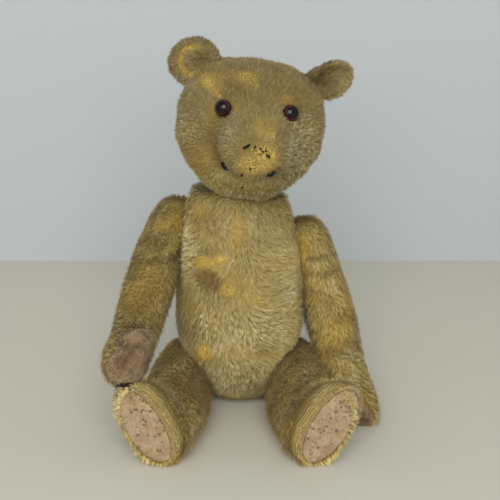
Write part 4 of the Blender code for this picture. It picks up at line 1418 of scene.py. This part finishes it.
def ear_frame(side):
    """The ear's middle, and its directions across, out of its hollow and up."""
    out = unit(np.array([EAR_FACING[side]]))[0]
    away = middle_of(f"ear_{side}") - middle_of("head_cover")
    up = away - (away @ out) * out
    up = up / np.linalg.norm(up)
    return middle_of(f"ear_{side}"), np.cross(up, out), out, up


for side in SIDES:
    print(side, "ear looks towards", ear_frame(side)[2].round(2).tolist())

# %% Type the worn marks of the ears


def ear_marks_on(side):
    """The worn places of one ear, as a function of place."""
    middle, across_way, out_way, up_way = ear_frame(side)

    def ear_marks(points, normals):
        local = (points - middle) / MM
        sideways, upwards = local @ across_way, local @ up_way
        front = np.clip(normals @ out_way + 0.2, 0, 0.6) / 0.6
        ring = np.hypot(sideways, upwards)
        dots = np.clip(0.5 + 0.8 * ripple(points, 3.5 * MM, 71), 0, 1)
        if side == "right":
            band = np.clip(1.5 - np.abs(ring - 9.0) / 2.0, 0, 1) * np.clip(1 - (sideways - upwards) / 8, 0, 1)
            # The right ear's hollow is painted dark through the stain mark, as shade in the hollow.
            hollow = np.clip(1.3 - np.hypot(sideways - 4.0, upwards + 2.0) / 6.5, 0, 1)
            stain = front * hollow + 0.5 * np.clip((ring - 12) / 2, 0, 1)
        else:
            band = np.clip(1 - np.abs(ring - 10.0) / 3.0, 0, 1) * 0.5
            stain = 0.65 * np.clip(0.6 - upwards / 8, 0, 1) + 0.5 * dots * np.clip((ring - 8) / 3, 0, 1)
        gold = front * band * (0.6 + 0.6 * dots) + 0.1
        bald = front * band * dots * 0.95
        cream = np.full(len(points), 0.15)
        return marks_from(bald, gold, stain, cream)

    return ear_marks


print("ear marks typed")

# %% Skin and cover the ears


def ear_flow_on(side):
    """The ear's pile runs outwards to its rim."""
    middle, across_way, out_way, up_way = ear_frame(side)

    def ear_flow(points, normals):
        flow = unit(points - middle + up_way * 6 * MM)
        return flow + 0.4 * np.outer(ripple(points, 10 * MM, 73), across_way)

    return ear_flow


EAR_PILE = Pile(count=14000, length=4.2 * MM, wide=0.26 * MM, lift=0.9, bend=0.5, lock=3, gather=0.35)
HOLLOW_PLUMP = {"right": 2.0, "left": 4.2}
BASE_PLUMP = 2.2


def ear_shape_on(side):
    """A shape function that plumps the ear's hollow and its base, where the cloth is thickest."""
    middle, across_way, out_way, up_way = ear_frame(side)

    def fill_hollow(points, normals):
        local = (points - middle) / MM
        ring = np.hypot(local @ across_way, local @ up_way)
        plump = HOLLOW_PLUMP[side] * np.exp(-((ring / 10) ** 2)) * np.clip(normals @ out_way, 0, 1)
        base = BASE_PLUMP * np.clip((-4 - local @ up_way) / 8, 0, 1)
        return points + normals * (plump + base)[:, None] * MM

    return fill_hollow


for number, side in enumerate(SIDES):
    name, shape = f"ear_{side}_cloth", ear_shape_on(side)
    ear_skin = make_skin(name, "head", [f"ear_{side}"], THIN_VOXEL, 14, [], shape)
    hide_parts(f"ear_{side}")
    marks_of = ear_marks_on(side)
    mark_cloth(ear_skin, marks_of(ear_skin.points, ear_skin.normals), cloth_ground)
    ways = (marks_of, ear_flow_on(side), EAR_PILE, [], ear_mohair[side])
    grow_pile(f"ear_{side}_pile", ear_skin, *ways, seed=120 + number)

# %% [markdown]
# ## The eyes
# The eyes are domes of dark amber glass on wire shanks, painted black behind for the pupil,
# so a reddish brown ring shows round it. Modelling real refraction in a bead this small only
# makes noise. The ring is coloured by the angle from the eye's axis, and a low roughness
# gives the wet gloss.

# %% Blow the glass eyes
EYE_FACING = {"right": (-0.28, -0.92, 0.26), "left": (0.34, -0.90, 0.26)}
DOME_HIGH, BACK_HIGH = 0.82, 0.5
glass, tree, surface = new_material("amber_glass", Roughness=0.06)
surface.inputs["Specular IOR Level"].default_value = 0.28
turn = attribute(tree, "off_axis")
amber = mix(tree, ramp(tree, turn, 0.24, 0.34), paint(7, 6, 7), paint(60, 29, 23))
amber = mix(tree, ramp(tree, turn, 0.48, 0.74), amber, paint(22, 13, 11))
place = object_place(tree)
dusty = mix(tree, ramp(tree, noise(tree, place, 900.0), 0.5, 0.9, 0.0, 0.08), amber, paint(150, 130, 100))
tree.links.new(dusty, surface.inputs["Base Color"])


def blow_eye(side):
    """One glass dome where the eye's solid sits."""
    low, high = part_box(f"eye_{side}")
    middle = (low + high) / 2
    radius = (high - low).x / 2
    facing = Vector(EYE_FACING[side]).normalized()
    turn = facing.to_track_quat("Z", "Y").to_matrix().to_4x4()
    bead = bmesh.new()
    bmesh.ops.create_uvsphere(bead, u_segments=40, v_segments=24, radius=radius)
    angles = [1.0 - vert.co.z / radius for vert in bead.verts]
    for vert in bead.verts:
        vert.co.z *= DOME_HIGH if vert.co.z > 0 else BACK_HIGH
    bead.transform(Matrix.Translation(middle) @ turn)
    mesh = bpy.data.meshes.new(f"eye_{side}_glass")
    bead.to_mesh(mesh)
    bead.free()
    write_values(mesh, "off_axis", np.array(angles))
    shade_smooth(mesh)
    mesh.materials.append(glass)
    piece = put_in_scene(f"eye_{side}_glass", mesh)
    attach(piece, "head")
    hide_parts(f"eye_{side}")
    print(piece.name, "radius", round(radius / MM, 2), "mm")


for side in SIDES:
    blow_eye(side)

# %% [markdown]
# ## The threads
# Nose and mouth were embroidered in black cotton. Only a few stitches are left, and a tangle
# of the same thread hangs at the right paw. The back was closed by hand with straw-coloured
# thread, as on any bear stuffed with wood wool. A thread is two plies twisted round each
# other, and each ply here is a small tube whose middle line runs round the thread's own.

# %% Helper that rolls a tube


def tube(points, radius, sides=6):
    """A closed tube's points and faces round a line of points."""
    ahead = unit(np.gradient(points, axis=0))
    start = np.array([0.0, 0.0, 1.0]) if abs(ahead[0][2]) < 0.8 else np.array([1.0, 0.0, 0.0])
    one = unit(np.cross(ahead, start))
    two = np.cross(ahead, one)
    ring = np.linspace(0, 2 * math.pi, sides, endpoint=False)
    fade = np.clip(np.minimum(np.arange(len(points)), np.arange(len(points))[::-1]) * 0.6 + 0.35, 0, 1)
    round_it = np.cos(ring)[None, :, None] * one[:, None] + np.sin(ring)[None, :, None] * two[:, None]
    skin = points[:, None] + round_it * (radius * fade)[:, None, None]
    faces = [tuple(range(sides)), tuple((len(points) - 1) * sides + i for i in reversed(range(sides)))]
    for row in range(len(points) - 1):
        for i in range(sides):
            j = (i + 1) % sides
            faces.append((row * sides + j, row * sides + i, (row + 1) * sides + i, (row + 1) * sides + j))
    return skin.reshape(-1, 3), faces


print("tube helper ready")

# %% Helper that spins thread


def spin_thread(name, body, lines, radius, finish, twist=1.3 * MM, plies=2):
    """Threads along lines, each of two plies that turn once in every twist."""
    corners, faces = [], []
    for line in lines:
        far = np.concatenate([[0.0], np.cumsum(np.linalg.norm(np.diff(line, axis=0), axis=1))])
        steps = np.linspace(0, far[-1], max(int(far[-1] / (0.35 * MM)), 6))
        path = np.stack([np.interp(steps, far, line[:, axis]) for axis in range(3)], 1)
        ahead = unit(np.gradient(path, axis=0))
        one = unit(np.cross(ahead, np.array([[0.31, 0.85, 0.42]])))
        two = np.cross(ahead, one)
        for ply in range(plies):
            turn = steps * 2 * math.pi / twist + ply * 2 * math.pi / plies
            away = (np.cos(turn)[:, None] * one + np.sin(turn)[:, None] * two) * radius * 0.48 * (plies > 1)
            skin, sides = tube(path + away, radius * (0.56 if plies > 1 else 1.0))
            faces += [tuple(i + sum(len(c) for c in corners) for i in side) for side in sides]
            corners.append(skin)
    mesh = bpy.data.meshes.new(name)
    mesh.from_pydata(np.concatenate(corners).tolist(), [], faces)
    mended = bmesh.new()
    mended.from_mesh(mesh)
    bmesh.ops.recalc_face_normals(mended, faces=mended.faces)
    mended.to_mesh(mesh)
    mended.free()
    shade_smooth(mesh)
    mesh.materials.append(finish)
    piece = put_in_scene(name, mesh)
    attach(piece, body)
    print(name, len(lines), "stitches,", len(mesh.polygons), "faces")
    return piece


print("thread helper ready")

# %% Dye the threads


def thread_finish(name, tint, dust):
    """Dull spun cotton with dust in it."""
    material, tree, surface = new_material(name, Roughness=0.8, Specular_IOR_Level=0.2)
    place = object_place(tree)
    fibres = noise(tree, place, 2600.0, 3.0)
    dusty = mix(tree, ramp(tree, fibres, 0.4, 0.75, 0.0, 0.55), tint, dust)
    tree.links.new(dusty, surface.inputs["Base Color"])
    bump(tree, surface, fibres, 0.0002, 0.6)
    return material


black_cotton = thread_finish("black_cotton", paint(24, 24, 28), paint(70, 66, 60))
straw_cotton = thread_finish("straw_cotton", paint(176, 146, 84), paint(120, 96, 52))
print("two threads:", black_cotton.name, "and", straw_cotton.name)

# %% [markdown]
# ### Sewing
# A stitch has to lie on the cloth, wherever smoothing and swelling have moved it. So each
# stitch is typed flat, as two ends, and a straight line is sent from in front through each of
# its points to find the cloth. The thread then rises a little above the places that were hit.

# %% Helpers that find the cloth under a stitch


def cloth_tree(skin):
    """A search tree over a skin's faces, to find where a needle would meet it."""
    return BVHTree.FromPolygons(skin.points.tolist(), skin.corners.tolist())


head_tree = cloth_tree(head_skin)


def on_face(across, up, high):
    """The point of the face at this place in the head's own frame, high above the cloth."""
    start = Vector(HEAD_TURN @ np.array([across, -130.0, up]) * MM + NECK)
    way = Vector(HEAD_TURN @ np.array([0.0, 1.0, 0.0]))
    hit, normal = head_tree.ray_cast(start, way)[:2]
    return np.array(hit + normal * high)


STITCH_SUNK = 0.8


def stitch_lift(share, high):
    """How far above the cloth a stitch is on its way: it comes up, lies flat and goes down."""
    return (-STITCH_SUNK + high * math.sin(math.pi * share) ** 0.5) * MM


def face_stitch(start, end, high):
    """A stitch on the face between two places in the head's own frame."""
    line = []
    for share in np.linspace(0, 1, 9):
        across, up = (1 - share) * np.array(start) + share * np.array(end)
        line.append(on_face(across, up, stitch_lift(share, high)))
    return np.array(line)


print("stitches sink", STITCH_SUNK, "mm into the cloth at their ends")

# %% Sew the stitches that are left
nose = [face_stitch(start, end, 2.6) for start, end in NOSE_STITCHES]
nose_piece = spin_thread("nose_stitches", "head", nose, 0.62 * MM, black_cotton)
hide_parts("nose_thread")
for side, (start, end) in zip(SIDES, MOUTH_STITCHES):
    lines = [face_stitch(start, end, 3.0)]
    lines.append(face_stitch((start[0] + 0.8, start[1] + 0.5), (end[0] - 0.9, end[1] + 0.7), 2.6))
    mouth_piece = spin_thread(f"mouth_stitches_{side}", "head", lines, 0.66 * MM, black_cotton)
    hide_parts(f"mouth_thread_{side}")

# %% Sew the closing seam in the back
torso_tree = cloth_tree(torso_skin)


def on_back(across, up, high):
    """The point of the back at this place, high above the cloth."""
    hit, normal = torso_tree.ray_cast(Vector((across, 130.0, up)) * MM, Vector((0, -1, 0)))[:2]
    return np.array(hit + normal * high)


SEAM_ROWS = np.arange(58, 122, 4.0)
SEAM_HALF, SEAM_LEAN, SEAM_HIGH = 3, 2.2, 3.4
seam = []
for row, up in enumerate(SEAM_ROWS):
    lean = SEAM_LEAN if row % 2 else -SEAM_LEAN
    line = []
    for share in np.linspace(0, 1, 7):
        across = -SEAM_HALF + 2 * SEAM_HALF * share
        line.append(on_back(across, up + lean * (share - 0.5) * 2, stitch_lift(share, SEAM_HIGH)))
    seam.append(np.array(line))
spin_thread("back_seam_stitches", "torso", seam, 0.5 * MM, straw_cotton)

# %% Sew round the pads
RIM_STITCH = ((0.93, -0.3), (0.97, 0.5), (1.01, 0.6), (1.05, 0.4), (1.08, -0.3))


def sew_round(name, body, solid, count):
    """Small slanted stitches that hold a pad's rim to the plush.

    RIM_STITCH gives how far out each point of a stitch lies, and how high above the cloth.
    """
    oval = pad_oval(solid)
    pad_tree, plush_tree = cloth_tree(pads[solid.replace("_pad", "")]), cloth_tree(limb_skins[body])
    stitches = []
    for turn in np.linspace(0, 2 * math.pi, count, endpoint=False):
        line = []
        for share, high in RIM_STITCH:
            angle = turn + (share - 1) * 0.5
            away = math.cos(angle) * oval.along * oval.long + math.sin(angle) * oval.aside * oval.wide
            spot = Vector(oval.middle + away * share + oval.facing * 4 * MM)
            hits = [tree.find_nearest(spot) for tree in (pad_tree, plush_tree)]
            near = min(hits, key=lambda hit: hit[3])
            line.append(np.array(near[0] + (spot - near[0]).normalized() * high * MM))
        stitches.append(np.array(line))
    spin_thread(name, body, stitches, 0.26 * MM, straw_cotton, plies=1)


for side in SIDES:
    sew_round(f"paw_stitches_{side}", f"arm_{side}", f"paw_pad_{side}", 40)
    sew_round(f"sole_stitches_{side}", f"leg_{side}", f"foot_pad_{side}", 52)

# %% Tangle the loose thread at the right paw
KNOT_RINGS = ((2.6, 1.6, 0.3), (1.9, 2.4, 1.4), (3.6, 1.1, 2.3))
LOOSE_ENDS = ((7.0, 1.5), (5.0, -3.0), (-5.5, -1.5))
paw = pads["paw_right"]
paw_end = paw.points[(paw.points @ np.array([0.1, -0.6, -0.8])).argmax()]
loops = []
for number, (wide, high, lean) in enumerate(KNOT_RINGS):
    turn = np.linspace(0, 5.0 + number, 26)
    ring = np.stack([wide * np.cos(turn + lean), 0.9 * np.sin(turn * 1.7), high * np.sin(turn)], 1)
    loops.append(paw_end + (ring + np.array([1.0 - number * 0.8, -0.6, 0.2 * number])) * MM)
for across, up in LOOSE_ENDS:
    share = np.linspace(0, 1, 14)[:, None]
    bow = np.sin(share * 3.1) * np.array([0.4, -1.0, 1.3])
    loops.append(paw_end + (share * np.array([across, -1.0, up]) + bow) * MM)
spin_thread("paw_loose_thread", "arm_right", loops, 0.42 * MM, black_cotton)

# %% [markdown]
# ## Inside the joints
# The discs are pressed card. Pins, washers and eye wires are steel, a little rusty.
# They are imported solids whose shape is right, so they stay and only get finishes: card with
# pressed fibres and a stain, steel with brown spots of rust.

# %% Finish the discs, washers and pins
card, tree, surface = new_material("card_finish", Roughness=0.9, Specular_IOR_Level=0.2)
place = object_place(tree)
fibres = noise(tree, place, 900.0, 5.0, 0.7)
tint = mix(tree, ramp(tree, fibres, 0.35, 0.65), paint(122, 98, 70), paint(158, 132, 98))
tint = mix(tree, ramp(tree, noise(tree, place, 120.0), 0.5, 0.7, 0.0, 0.5), tint, paint(92, 70, 46))
tree.links.new(tint, surface.inputs["Base Color"])
bump(tree, surface, fibres, 0.0002, 0.5)
steel, tree, surface = new_material("rusty_steel", Specular_IOR_Level=0.5)
place = object_place(tree)
rust = ramp(tree, noise(tree, place, 420.0, 4.0), 0.50, 0.62)
tree.links.new(mix(tree, rust, paint(150, 148, 142), paint(112, 66, 36)), surface.inputs["Base Color"])
tree.links.new(ramp(tree, rust, 0.0, 1.0, 0.35, 0.85), surface.inputs["Roughness"])
tree.links.new(ramp(tree, rust, 0.0, 1.0, 1.0, 0.0), surface.inputs["Metallic"])
bump(tree, surface, rust, 0.0001, 0.5)
finished = 0
for title, solid in frame["nodes"].items():
    if title.endswith(("disc", "washer", "pin")) or title.startswith("eye_wire"):
        finished += 1
        for place in solid.material_slots:
            place.material = card if title.endswith("disc") else steel
print(finished, "inner solids finished")
